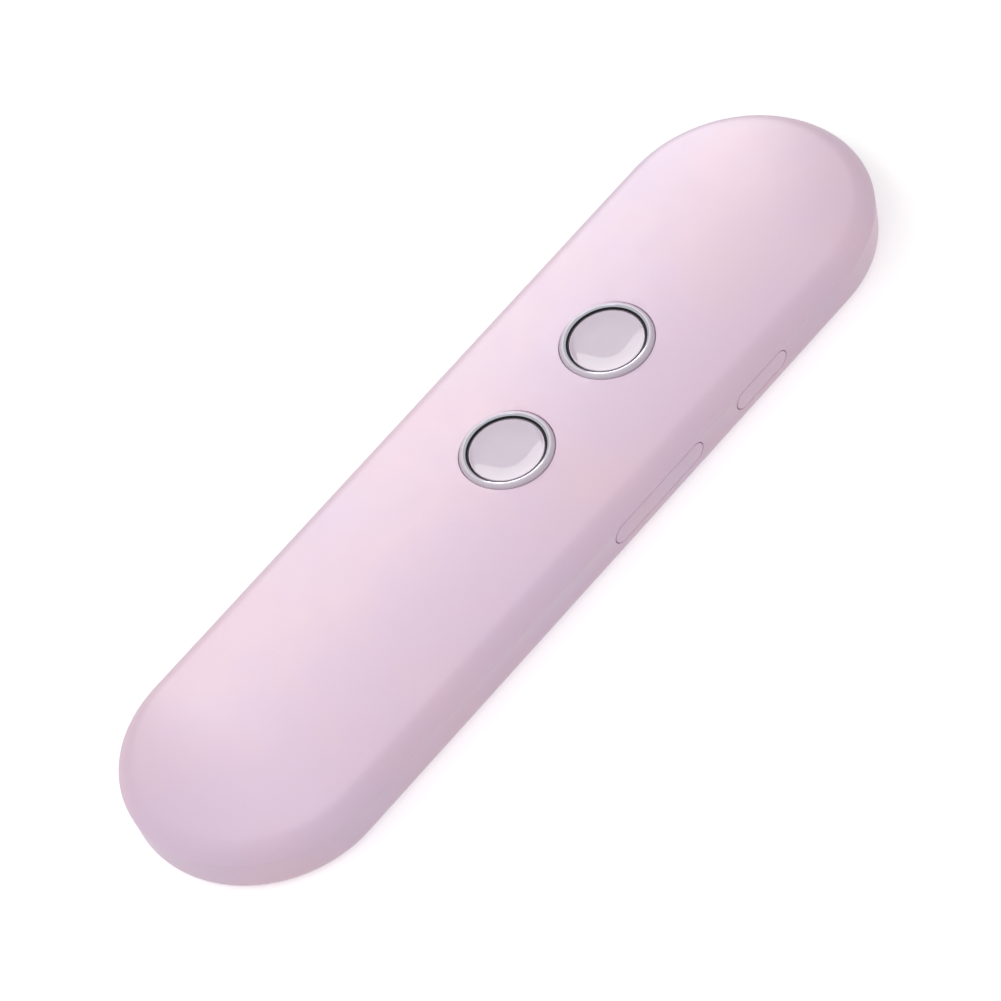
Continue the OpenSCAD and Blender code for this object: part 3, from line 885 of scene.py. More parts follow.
def merged(meshes: Iterable[Mesh]) -> Mesh:
    """Puts several meshes into one, side by side.

    Args:
        meshes: The meshes, which are used up.

    Returns:
        The one mesh.
    """
    whole = bmesh.new()
    for part in meshes:
        scratch = bpy.data.meshes.new("scratch")
        part.to_mesh(scratch)
        part.free()
        whole.from_mesh(scratch)
        bpy.data.meshes.remove(scratch)
    return whole


def combine(body: Mesh, tool: Mesh, way: Way = Way.CUT) -> Mesh:
    """Cuts one solid with another, joins them or keeps what they share.

    Args:
        body: The solid, which is used up.
        tool: The other solid, or several that lie apart, used up as well.
        way: What is done.

    Returns:
        The result.
    """
    objects = []
    for name, bm in (("body", body), ("tool", tool)):
        mesh = bpy.data.meshes.new(name)
        bm.to_mesh(mesh)
        bm.free()
        objects.append(bpy.data.objects.new(name, mesh))
        bpy.context.scene.collection.objects.link(objects[-1])
    step = objects[0].modifiers.new("step", "BOOLEAN")
    step.operation, step.object, step.solver = way.value, objects[1], "EXACT"
    bpy.context.view_layer.update()
    made = bpy.data.meshes.new_from_object(objects[0].evaluated_get(bpy.context.evaluated_depsgraph_get()))
    result = bmesh.new()
    result.from_mesh(made)
    for obj in objects:
        mesh = obj.data
        bpy.data.objects.remove(obj)
        bpy.data.meshes.remove(mesh)
    bpy.data.meshes.remove(made)
    heal(result)
    return result


def settle(
    name: str,
    bm: Mesh,
    body: Body,
    materials: Sequence[Material],
    stands_for: Sequence[str] = (),
) -> bpy.types.Object:
    """Turns a mesh in millimetres into a piece that rides on a body.

    Args:
        name: The piece's name.
        bm: Its mesh, which is used up.
        body: The body that it rides on.
        materials: Its materials, in the order of the faces' material indices.
        stands_for: The CAD nodes that it replaces.

    Returns:
        The piece.
    """
    open_edges = sum(1 for e in bm.edges if len(e.link_faces) != 2)
    bm.transform(Matrix.Scale(MM, 4))
    for face in bm.faces:
        face.smooth = True
    for edge in bm.edges:
        edge.smooth = len(edge.link_faces) == 2 and edge.calc_face_angle(0.0) < SHARP_ANGLE
    mesh = bpy.data.meshes.new(name)
    bm.to_mesh(mesh)
    bm.free()
    for material in materials:
        mesh.materials.append(material)
    piece = bpy.data.objects.new(name, mesh)
    bpy.context.scene.collection.objects.link(piece)
    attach(piece, body.value)
    if stands_for:
        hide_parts(*stands_for)
    log.info("%s: %d faces, %d open edges, on %s", name, len(mesh.polygons), open_edges, body.value)
    return piece


def node_box(node: str) -> tuple[Vector, Vector]:
    """A CAD node's lowest and highest corner, in millimetres.

    Args:
        node: The node's name.

    Returns:
        The two corners.
    """
    low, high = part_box(node)
    return low / MM, high / MM


def node_middle(node: str) -> Vector:
    """The middle of a CAD node's box, in millimetres.

    Args:
        node: The node's name.

    Returns:
        The middle.
    """
    low, high = node_box(node)
    return (low + high) / 2


# ---------------------------------------------------------------- casing


@dataclass
class Casing:
    """The form that the two shells share, a stadium plan with a domed front and a leaning side wall.

    It also holds the clearances that all pieces keep, and the rocker's pivot.
    """

    # the outer form, inner edges and wall
    half_width: float
    half_length: float
    crown_z: float
    crease_z: float
    wall: float = 1.5
    floor: float = 1.4
    shoulder_r: float = 4.5
    crease_slope: float = 62.0
    side_draft: float = 0.6
    back_edge_r: float = 2.0
    crease_r: float = 0.45
    # how finely the plan and the section's arcs are stepped
    end_steps: int = 96
    length_steps: int = 64
    crown_steps: int = 40
    shoulder_steps: int = 28
    crease_steps: int = 4
    under_steps: int = 12
    corner_steps: int = 16
    # how far joined forms reach into each other, and the gaps between pieces
    root: float = 0.2
    fit_gap: float = 0.05
    slide_gap: float = 0.1
    stop_gap: float = 0.1
    key_gap: float = 0.16
    # the tongue of the front shell and its snap ridges
    lip_t: float = 0.8
    lip_h: float = 1.2
    lip_step: float = 0.1
    snap_r: float = 0.3
    snap_l: float = 7.0
    snap_shares: Pair = (0.42, 0.9)
    snap_steps: int = 24
    lip_clear: float = 0.5
    # the posts of the rocker's pin and the lug between them
    post_r: float = 1.0
    post_steps: int = 48
    lug_h: float = 1.8
    lug_gap: float = 0.15

    @classmethod
    def from_frame(cls) -> Casing:
        """Reads the casing's outer sizes off the frame.

        Returns:
            The casing.
        """
        high = node_box("back_shell")[1]
        crown_z = node_box("front_shell")[1].z
        return cls(half_width=high.x, half_length=high.y, crown_z=crown_z, crease_z=high.z)

    @property
    def end_y(self) -> float:
        """Distance from the middle to the centre of a round end."""
        return self.half_length - self.half_width

    @property
    def draft(self) -> float:
        """Lean of the side wall, in degrees."""
        return math.degrees(math.atan(self.side_draft / self.crease_z))

    def wall_x(self, z: float, inset: float = 0.0) -> float:
        """Distance of the side wall from the middle.

        Args:
            z: The height.
            inset: How far inside the outer face.

        Returns:
            The distance.
        """
        lean = math.radians(self.draft)
        return self.half_width - (self.crease_z - z) * math.tan(lean) - inset / math.cos(lean)

    @property
    def lip_in(self) -> float:
        """Distance of the tongue's inner face from the middle.

        Returns:
            The distance.
        """
        shoulder = self.dome()[3]
        reach = (self.shoulder_r - self.wall) ** 2 - (self.crease_z - shoulder[1]) ** 2
        return shoulder[0] + math.sqrt(reach) + self.lip_step

    def dome(self) -> tuple[float, float, Pair, Pair]:
        """The two tangent arcs of the dome's section.

        Returns:
            The crown arc's radius and angle, its centre, and the shoulder arc's centre.
        """
        slope = math.radians(self.crease_slope)
        span = self.half_width - self.shoulder_r * math.sin(slope)
        rest = self.crown_z - self.crease_z - self.shoulder_r * (1 - math.cos(slope))
        angle = 2 * math.atan(rest / span)
        radius = self.shoulder_r + span / math.sin(angle)
        crown = (0.0, self.crown_z - radius)
        reach = radius - self.shoulder_r
        shoulder = (reach * math.sin(angle), crown[1] + reach * math.cos(angle))
        return radius, math.degrees(angle), crown, shoulder

    def crease_arc(self) -> tuple[Pair, float]:
        """The small arc that rounds the crease.

        Returns:
            Its centre, and the angle on it at which the two shells meet.
        """
        wall_angle = 90 + self.draft
        middle = math.radians((self.crease_slope + wall_angle) / 2)
        half = math.radians((wall_angle - self.crease_slope) / 2)
        back = self.crease_r / math.cos(half)
        centre = (self.half_width - back * math.sin(middle), self.crease_z - back * math.cos(middle))
        return centre, math.degrees(math.acos((self.crease_z - centre[1]) / self.crease_r))

    def under_dome(self, inset: float, base: float, steps: int) -> list[Vector]:
        """The dome's arcs set in from its outside, from the axis down to a level.

        Args:
            inset: How far they are set in.
            base: The level.
            steps: Steps in each arc.

        Returns:
            The points.
        """
        radius, angle, crown, shoulder = self.dome()
        inner_r = self.shoulder_r - inset
        end = math.degrees(math.acos(max(-1.0, (base - shoulder[1]) / inner_r)))
        return arc(crown, radius - inset, 0, angle, steps) + arc(shoulder, inner_r, angle, end, steps)[1:]

    def front_section(self) -> list[Vector]:
        """Half section of the front shell, from the axis round its edge and back to the axis.

        Returns:
            The points.
        """
        radius, angle, crown, shoulder = self.dome()
        centre, parting = self.crease_arc()
        bend = math.radians((90 + self.draft - self.crease_slope) / 2)
        tangent = math.degrees(self.crease_r * math.tan(bend) / self.shoulder_r)
        outer = arc(crown, radius, 0, angle, self.crown_steps)
        outer += arc(shoulder, self.shoulder_r, angle, self.crease_slope - tangent, self.shoulder_steps)[1:]
        edge = arc(centre, self.crease_r, self.crease_slope, parting, self.crease_steps)
        return outer + edge + self.under_dome(self.wall, self.crease_z, self.under_steps)[::-1]

    def back_section(self) -> list[Vector]:
        """Half section of the back shell, with the step that takes the front shell's tongue.

        Returns:
            The points.
        """
        centre, parting = self.crease_arc()
        lean = math.cos(math.radians(self.draft))
        wall_angle = 90 + self.draft
        corner = (self.wall_x(self.back_edge_r) - self.back_edge_r / lean, self.back_edge_r)
        inner_r = self.back_edge_r - self.wall
        inner = (self.wall_x(self.floor + inner_r, self.wall) - inner_r / lean, self.floor + inner_r)
        step_x = self.lip_in + self.lip_t + self.fit_gap
        step_z = self.crease_z - self.lip_h - self.slide_gap
        return (
            section((0, 0))
            + arc(corner, self.back_edge_r, 180, wall_angle, self.corner_steps)
            + arc(centre, self.crease_r, wall_angle, parting, self.crease_steps)
            + section((step_x, self.crease_z), (step_x, step_z), (self.wall_x(step_z, self.wall), step_z))
            + arc(inner, inner_r, wall_angle, 180, self.corner_steps // 2)
            + section((0, self.floor))
        )

    def sweep(self, line: Sequence[Vector], closed: bool = False, steps: int = 1) -> Mesh:
        """Carries a half section round the body's plan.

        Args:
            line: The half section, right of the axis.
            closed: Whether it is closed round itself and doesn't reach the axis.
            steps: Steps along each straight side.

        Returns:
            The closed solid.
        """
        bm = bmesh.new()
        geom = chain(bm, [p + Vector((0, -self.end_y, 0)) for p in line], closed)
        for side in (1, -1):
            run = (0, side * 2 * self.end_y / steps, 0)
            geom = bmesh.ops.spin(bm, geom=geom, cent=(0, 0, 0), axis=(0, 0, 1), dvec=run, angle=0,
                                  steps=steps, use_merge=False)["geom_last"]
            geom = bmesh.ops.spin(bm, geom=geom, cent=(0, side * self.end_y, 0), axis=(0, 0, 1),
                                  dvec=(0, 0, 0), angle=math.pi, steps=self.end_steps,
                                  use_merge=False)["geom_last"]
        heal(bm)
        return bm

    def snap_rods(self, over: float) -> list[Mesh]:
        """The tongue's snap ridges, clear of the side keys.

        Args:
            over: How much thicker they are, for the grooves that take them.

        Returns:
            One rod for each ridge.
        """
        power = SideKey.from_frame(Key.POWER, self)
        keys_top = power.y + power.length / 2 + power.flange_over + self.lip_clear
        ys = [sign * share * self.end_y for sign in (-1, 1) for share in self.snap_shares]
        x = self.lip_in + self.lip_t - self.snap_r / 4
        z = self.crease_z - self.lip_h / 2
        length = self.snap_l + 4 * over
        return [rod((side * x, y - length / 2, z), (0, length, 0), self.snap_r + over, self.snap_steps)
                for side in (-1, 1) for y in ys if side < 0 or y < 0 or y - self.snap_l / 2 > keys_top]


@dataclass
class FrontShell:
    """The domed shell, with a tongue, ribs, button guides and the rocker's upper post inside."""

    casing: Casing
    ledge_drop: float = 0.9
    guide_gap: float = 0.35
    guide_t: float = 0.9
    guide_over: float = 0.35
    guide_steps: int = 96
    ear_w: float = 1.6
    ear_out: float = 0.6
    flange_t: float = 0.8
    rib_t: float = 0.9
    rib_gap: float = 0.3
    rib_off: float = 1.5
    rib_steps: int = 10
    hole_lip: float = 0.07
    hole_gap: float = 0.11
    hole_steps: int = 160

    def hole_r(self, button: TalkButton) -> float:
        """Radius of the hole that a trim ring sits in.

        Args:
            button: The ring's button.

        Returns:
            The radius.
        """
        return button.ring_r + self.hole_gap

    def guide_r(self, button: TalkButton) -> float:
        """Inner radius of the guide round a button's flange.

        Args:
            button: The button.

        Returns:
            The radius.
        """
        return node_box(f"{button.which.value}_button_base")[1].x + self.guide_gap

    def guide_low(self, button: TalkButton) -> float:
        """Lower end of the guide round a button's flange.

        Args:
            button: The button.

        Returns:
            The level.
        """
        stop = self.casing.stop_gap
        return button.ring_low - stop - self.flange_t - self.guide_over - stop

    def tongue(self) -> Mesh:
        """The tongue that reaches into the back shell.

        It has gaps for the keys, the socket and the microphone.

        Returns:
            The mesh.
        """
        c = self.casing
        low, high = c.crease_z - c.lip_h, c.crease_z + c.root
        out = c.lip_in + c.lip_t
        tongue = c.sweep(section((c.lip_in, low), (out, low), (out, high), (c.lip_in, high)), closed=True)
        gaps = []
        for key in SideKey.both(c):
            length = key.length + 2 * (key.flange_over + c.lip_clear)
            gaps.append(block(c.half_width, key.y, 0, FAR, (4 * c.wall, length)))
        for node in ("port_shell", "microphone_boot"):
            low_x, high_x = (corner.x for corner in node_box(node))
            size = (high_x - low_x + 2 * c.lip_clear, c.half_width)
            gaps.append(block((low_x + high_x) / 2, c.half_length, 0, FAR, size))
        return combine(tongue, merged(gaps))

    def ribs(self) -> Mesh:
        """Cross ribs under the dome: two over the battery and two beside the shield can.

        Returns:
            The mesh.
        """
        c = self.casing
        low, high = node_box("battery_pad")
        cell_low, cell_high = node_box("battery_cell")
        middle = (low.y + high.y) / 2
        quarter = (middle - cell_low.y) / 2
        can_low, can_high = node_box("shield_can")
        base = cell_high.z + self.rib_gap
        solid = c.sweep(c.under_dome(c.wall / 2, base, self.rib_steps) + section((0, base)))
        ys = (middle - quarter, middle + quarter, can_low.y - self.rib_off, can_high.y + self.rib_off)
        slices = [block(0, y, base - PAST, FAR, (3 * c.half_width, self.rib_t)) for y in ys]
        return combine(solid, merged(slices), Way.SHARE)

    def guides(self, buttons: Sequence[TalkButton]) -> Mesh:
        """The round guides of the buttons' flanges, slotted for their ears.

        Args:
            buttons: The talk buttons.

        Returns:
            The mesh.
        """
        c = self.casing
        walls, slots = [], []
        for button in buttons:
            inner, low = self.guide_r(button), self.guide_low(button)
            outer, high = inner + self.guide_t, c.crown_z - c.wall + c.root
            inside = inner - c.root
            line = section((inside, low), (outer, low), (outer, high), (inside, high))
            walls.append(turned(line, self.guide_steps, (0, button.y, 0)))
            size = (self.ear_w + 2 * c.key_gap, 2 * (self.ear_out + self.guide_gap))
            slots += [block(0, button.y + side * inner, low - PAST, button.ring_low + c.fit_gap, size)
                      for side in (-1, 1)]
        return combine(merged(walls), merged(slots))

    def post(self) -> Mesh:
        """The post that holds the upper end of the rocker's pin.

        Returns:
            The mesh.
        """
        c = self.casing
        low, high = node_box("rocker_pin")
        middle = (low + high) / 2
        bore = (high.x - low.x) / 2 + c.fit_gap
        key = SideKey.from_frame(Key.VOLUME, c)
        base = key.z + c.lug_h / 2 + c.lug_gap
        top, end = c.crease_z + c.wall, high.z + c.fit_gap
        line = section((0, end), (bore, end), (bore, base), (c.post_r, base), (c.post_r, top), (0, top))
        return turned(line, c.post_steps, (middle.x, middle.y, 0))

    def holes(self, buttons: Sequence[TalkButton]) -> Mesh:
        """Cutters for the stepped holes of the talk buttons.

        Args:
            buttons: The talk buttons.

        Returns:
            The cutters.
        """
        c = self.casing
        cutters = []
        for button in buttons:
            guide, low = self.guide_r(button), self.guide_low(button) - PAST
            seat, ledge = button.ring_low + c.fit_gap, c.crown_z - self.ledge_drop
            sleeve, hole = button.bore_r + button.sleeve_t + c.fit_gap, self.hole_r(button)
            line = section((0, low), (guide, low), (guide, seat), (sleeve, seat), (sleeve, ledge))
            line += section((hole, ledge), (hole, FAR), (0, FAR))
            cutters.append(turned(line, self.hole_steps, (0, button.y, 0)))
        return merged(cutters)

    def build(self, paint: Paintbox, buttons: Sequence[TalkButton]) -> None:
        """Builds and dresses the shell.

        Args:
            paint: Where the materials come from.
            buttons: The talk buttons that sit in it.
        """
        c = self.casing
        inner = [self.tongue(), self.ribs(), self.guides(buttons), self.post()]
        shell = combine(c.sweep(c.front_section(), steps=c.length_steps), merged(inner), Way.JOIN)
        shell = combine(shell, merged(c.snap_rods(0)), Way.JOIN)
        shell = combine(shell, self.holes(buttons))

        def on_hole(point: Vector) -> bool:
            """Whether a point lies on the outer lip of a button's hole."""
            return point.z > c.crown_z - self.ledge_drop / 2 and any(
                abs(math.hypot(point.x, point.y - b.y) - self.hole_r(b)) < LIP_REACH for b in buttons)

        round_lips(shell, on_hole, self.hole_lip, 3)
        settle("front_shell_skin", shell, Body.HOUSING, [paint.slot(Slot.PEARL_SHELL)],
               ["front_shell"])


@dataclass
class BackShell:
    """The tub-shaped back shell, with the bosses, fences and rests that carry what is inside."""

    casing: Casing
    boss_r: float = 1.7
    screw_r: float = 0.6
    screw_l: float = 3.0
    screw_head_r: float = 1.25
    fence_t: float = 0.9
    fence_l: float = 5.0
    fence_h: float = 1.4
    fence_edge: float = 0.1
    battery_gap: float = 0.2
    speaker_steps: int = 96
    notch_over: float = 0.9
    key_lip: float = 0.05
    mouth_lip: float = 0.2
    mouth_gap: float = 0.2
    mic_hole_r: float = 0.5
    mic_run: float = 16.0

    def bosses(self) -> list[Mesh]:
        """The four bosses that take the board's screws.

        Returns:
            One mesh for each.
        """
        low, high = node_box("board_screws")
        head = self.screw_head_r
        base, top = self.casing.floor - self.casing.root, node_box("main_board")[0].z
        end = top - self.screw_l
        line = section((0, base), (self.boss_r, base), (self.boss_r, top), (self.screw_r, top))
        line += section((self.screw_r, end), (0, end))
        return [turned(line, self.casing.post_steps, (x, y, 0)) for x in (low.x + head, high.x - head)
                for y in (low.y + head, high.y - head)]

    def fences(self) -> list[Mesh]:
        """The low walls that keep the battery in place.

        Returns:
            One mesh for each.
        """
        base, top = self.casing.floor - self.casing.root, self.casing.floor + self.fence_h
        pad = node_middle("battery_pad").y
        low, high = node_box("battery_cell")
        side = (high.x - low.x) / 2 + self.battery_gap + self.fence_t / 2
        reach = pad - low.y
        along, across = (self.fence_t, self.fence_l), (self.fence_l, self.fence_t)
        walls = [block(x * side, pad + y * (reach - self.fence_l), base, top, along, self.fence_edge)
                 for x in (-1, 1) for y in (-1, 1)]
        end_y = pad + reach + self.battery_gap + self.fence_t / 2
        return walls + [block(x * high.x / 2, end_y, base, top, across, self.fence_edge) for x in (-1, 1)]

    def speaker_wall(self) -> Mesh:
        """The round wall that centres the speaker, notched for its terminals.

        Returns:
            The mesh.
        """
        c = self.casing
        low, high = node_box("speaker_gasket")
        inner = (high.x - low.x) / 2 + c.slide_gap
        outer = inner + self.fence_t
        middle = (low.y + high.y) / 2
        base, top = c.floor - c.root, high.z + self.fence_h
        line = section((inner, base), (outer, base), (outer, top), (inner, top))
        wall = turned(line, self.speaker_steps, (0, middle, 0))
        frame_high = node_box("speaker_frame")[1]
        size = (2 * (frame_high.x / 4 + self.notch_over), 4 * self.fence_t)
        return combine(wall, block(0, middle + inner, high.z, FAR, size))

    def rests(self) -> list[Mesh]:
        """The rocker's lower post and the rest under the charging socket.

        Returns:
            One mesh for each.
        """
        c = self.casing
        base = c.floor - c.root
        pin = node_middle("rocker_pin")
        key = SideKey.from_frame(Key.VOLUME, c)
        rise = key.z - c.lug_h / 2 - c.lug_gap - base
        post = rod((pin.x, pin.y, base), (0, 0, rise), c.post_r, c.post_steps)
        low, high = node_box("port_shell")
        size = ((high.x - low.x) / 2, (high.y - low.y) / 3)
        return [post, block(0, (low.y + high.y) / 2, base, low.z, size)]

    def openings(self) -> list[Mesh]:
        """Cutters for the key slots, the socket, the microphone, the pin and the snap grooves.

        Returns:
            One mesh for each.
        """
        c = self.casing
        cutters = []
        for key in SideKey.both(c):
            outline = stadium(key.length + 2 * c.key_gap, key.height + 2 * c.key_gap)
            start = Vector((c.half_width / 2, key.y, key.z))
            cutters.append(prism([p + start for p in outline], (c.half_width, 0, 0)))
        low, high = node_box("port_shell")
        size = high - low
        middle = (low + high) / 2
        mouth = upright(size.x + self.mouth_gap, size.z + self.mouth_gap, middle.z, low.y)
        cutters.append(prism(mouth, (0, 2 * size.y, 0)))
        mic = node_middle("microphone")
        cutters.append(rod((mic.x, mic.y, middle.z), (0, self.mic_run, 0), self.mic_hole_r))
        pin_low, pin_high = node_box("rocker_pin")
        foot = ((pin_low.x + pin_high.x) / 2, (pin_low.y + pin_high.y) / 2, pin_low.z)
        cutters.append(rod(foot, (0, 0, FAR), (pin_high.x - pin_low.x) / 2))
        return cutters + c.snap_rods(c.fit_gap)

    def build(self, paint: Paintbox) -> None:
        """Builds and dresses the shell.

        Args:
            paint: Where the materials come from.
        """
        c = self.casing
        inner = self.bosses() + self.fences() + [self.speaker_wall()] + self.rests()
        shell = combine(c.sweep(c.back_section()), merged(inner), Way.JOIN)
        shell = combine(shell, merged(self.openings()))
        shell = combine(shell, SoundGrille().cutters())
        keys = SideKey.both(c)
        socket = node_middle("port_shell")

        def on_slot(point: Vector) -> bool:
            """Whether a point lies on the outer lip of a key's slot."""
            return (point.x > 0 and abs(point.x - c.wall_x(point.z)) < LIP_REACH
                    and any(abs(point.y - k.y) < k.length / 2 + 2 * c.key_gap for k in keys))

        def on_mouth(point: Vector) -> bool:
            """Whether a point lies on the outer lip of the socket's mouth or of the microphone's hole."""
            outside = math.hypot(point.x, point.y - c.end_y) - c.wall_x(point.z)
            return point.y > c.end_y and abs(outside) < LIP_REACH and abs(point.z - socket.z) < socket.z / 2

        round_lips(shell, on_slot, self.key_lip)
        round_lips(shell, on_mouth, self.mouth_lip, 3)
        settle("back_shell_skin", shell, Body.HOUSING, [paint.slot(Slot.PEARL_SHELL)],
               ["back_shell"])


# ---------------------------------------------------------------- talk buttons


@dataclass
class TalkButton:
    """A ring with a satin crest and a polished inner bevel, round a dished glossy cap."""

    which: Talk
    y: float
    ring_r: float
    ring_top: float
    ring_low: float
    cap_r: float
    rim_z: float
    cap_low: float
    # the ring: crest, bevel and sleeve
    crest_r: float = 0.6
    crest_cut: float = 10.0
    bevel_w: float = 0.575
    bevel_h: float = 0.38
    black_share: float = 0.52
    bevel_edge: float = 0.02
    sleeve_t: float = 0.88
    ledge_h: float = 0.65
    # the cap: its dish, rim and hollow
    cap_over: float = 0.12
    dish: float = 0.3
    flat_r: float = 2.4
    cap_edge: float = 0.08
    skin: float = 0.9
    cap_wall: float = 0.6
    # how finely both are stepped
    ring_steps: int = 192
    crest_steps: int = 20
    cap_steps: int = 160
    dish_steps: int = 20
    rim_steps: int = 6

    @classmethod
    def from_frame(cls, which: Talk) -> TalkButton:
        """Reads a button's sizes off the frame.

        Args:
            which: Which button.

        Returns:
            The button.
        """
        low, high = node_box(f"{which.value}_trim_ring")
        cap_low, cap_high = node_box(f"{which.value}_button_cap")
        return cls(
            which=which,
            y=(low.y + high.y) / 2,
            ring_r=(high.y - low.y) / 2,
            ring_top=high.z,
            ring_low=low.z,
            cap_r=(cap_high.y - cap_low.y) / 2 + cls.cap_over,
            rim_z=cap_high.z,
            cap_low=cap_low.z,
        )

    @property
    def bevel_top(self) -> Pair:
        """Where the bevel's upper edge is.

        Returns:
            Its distance from the axis and its level.
        """
        turn = math.radians(self.crest_cut)
        return (self.ring_r - self.crest_r * (1 + math.sin(turn)),
                self.ring_top - self.crest_r * (1 - math.cos(turn)))

    @property
    def bore_r(self) -> float:
        """Radius of the ring's bore."""
        return self.bevel_top[0] - self.bevel_w

    def ring(self) -> Mesh:
        """The trim ring, with its bevel's outer and inner faces on material indices 1 and 2.

        Returns:
            The mesh.
        """
        crest = (self.ring_r - self.crest_r, self.ring_top - self.crest_r)
        top = arc(crest, self.crest_r, -self.crest_cut, 90, self.crest_steps)
        bore, bevel_z = self.bore_r, self.bevel_top[1] - self.bevel_h
        ledge = self.ring_low + self.ledge_h
        sleeve = bore + self.sleeve_t
        black_r, black_z = bore + self.black_share * self.bevel_w, bevel_z + self.black_share * self.bevel_h
        line = section((bore, self.ring_low), (bore, bevel_z - self.bevel_edge))
        line += section((bore + self.bevel_edge, bevel_z), (black_r, black_z))
        line += top + section((self.ring_r, ledge), (sleeve, ledge), (sleeve, self.ring_low))
        bm = turned(line, self.ring_steps)
        for face in bm.faces:
            middle = face.calc_center_median()
            across = math.hypot(middle.x, middle.y)
            if bore < across < self.bevel_top[0] and middle.z > bevel_z - self.bevel_edge:
                face.material_index = 1 if across > black_r else 2
        return bm

    def cap(self) -> Mesh:
        """The cap: a flat middle, a curve up to a rounded rim, and a hollow underneath.

        Returns:
            The mesh.
        """
        edge = self.cap_edge
        reach = self.cap_r - edge - self.flat_r
        radius = (reach**2 + self.dish**2) / (2 * self.dish)
        turn = math.degrees(math.asin(reach / radius))
        floor_z = self.rim_z - self.dish
        bowl = arc((self.flat_r, floor_z + radius), radius, 180, 180 - turn, self.dish_steps)
        lip = arc((self.cap_r - edge, self.rim_z - edge), edge, -turn / 2, 90, self.rim_steps)
        hollow_r, hollow_z = self.cap_r - self.cap_wall, floor_z - self.skin
        line = section((0, floor_z)) + bowl + lip[1:] + section((self.cap_r, self.cap_low))
        line += section((hollow_r, self.cap_low), (hollow_r, hollow_z), (0, hollow_z))
        return turned(line, self.cap_steps)

    def build(self, paint: Paintbox) -> None:
        """Builds and dresses the ring and the cap.

        Args:
            paint: Where the materials come from.
        """
        which = self.which.value
        ring, cap = self.ring(), self.cap()
        for bm in (ring, cap):
            bm.transform(Matrix.Translation((0, self.y, 0)))
        settle(f"{which}_ring", ring, Body.HOUSING,
               [paint.slot(Slot.SATIN_TRIM), paint.of(POLISHED_BEVEL), paint.of(BLACK_SEAT)],
               [f"{which}_trim_ring"])
        settle(f"{which}_cap", cap, Body(f"{which}_button"),
               [paint.slot(Slot.GLOSS_CAP)], [f"{which}_button_cap"])


# ---------------------------------------------------------------- side keys


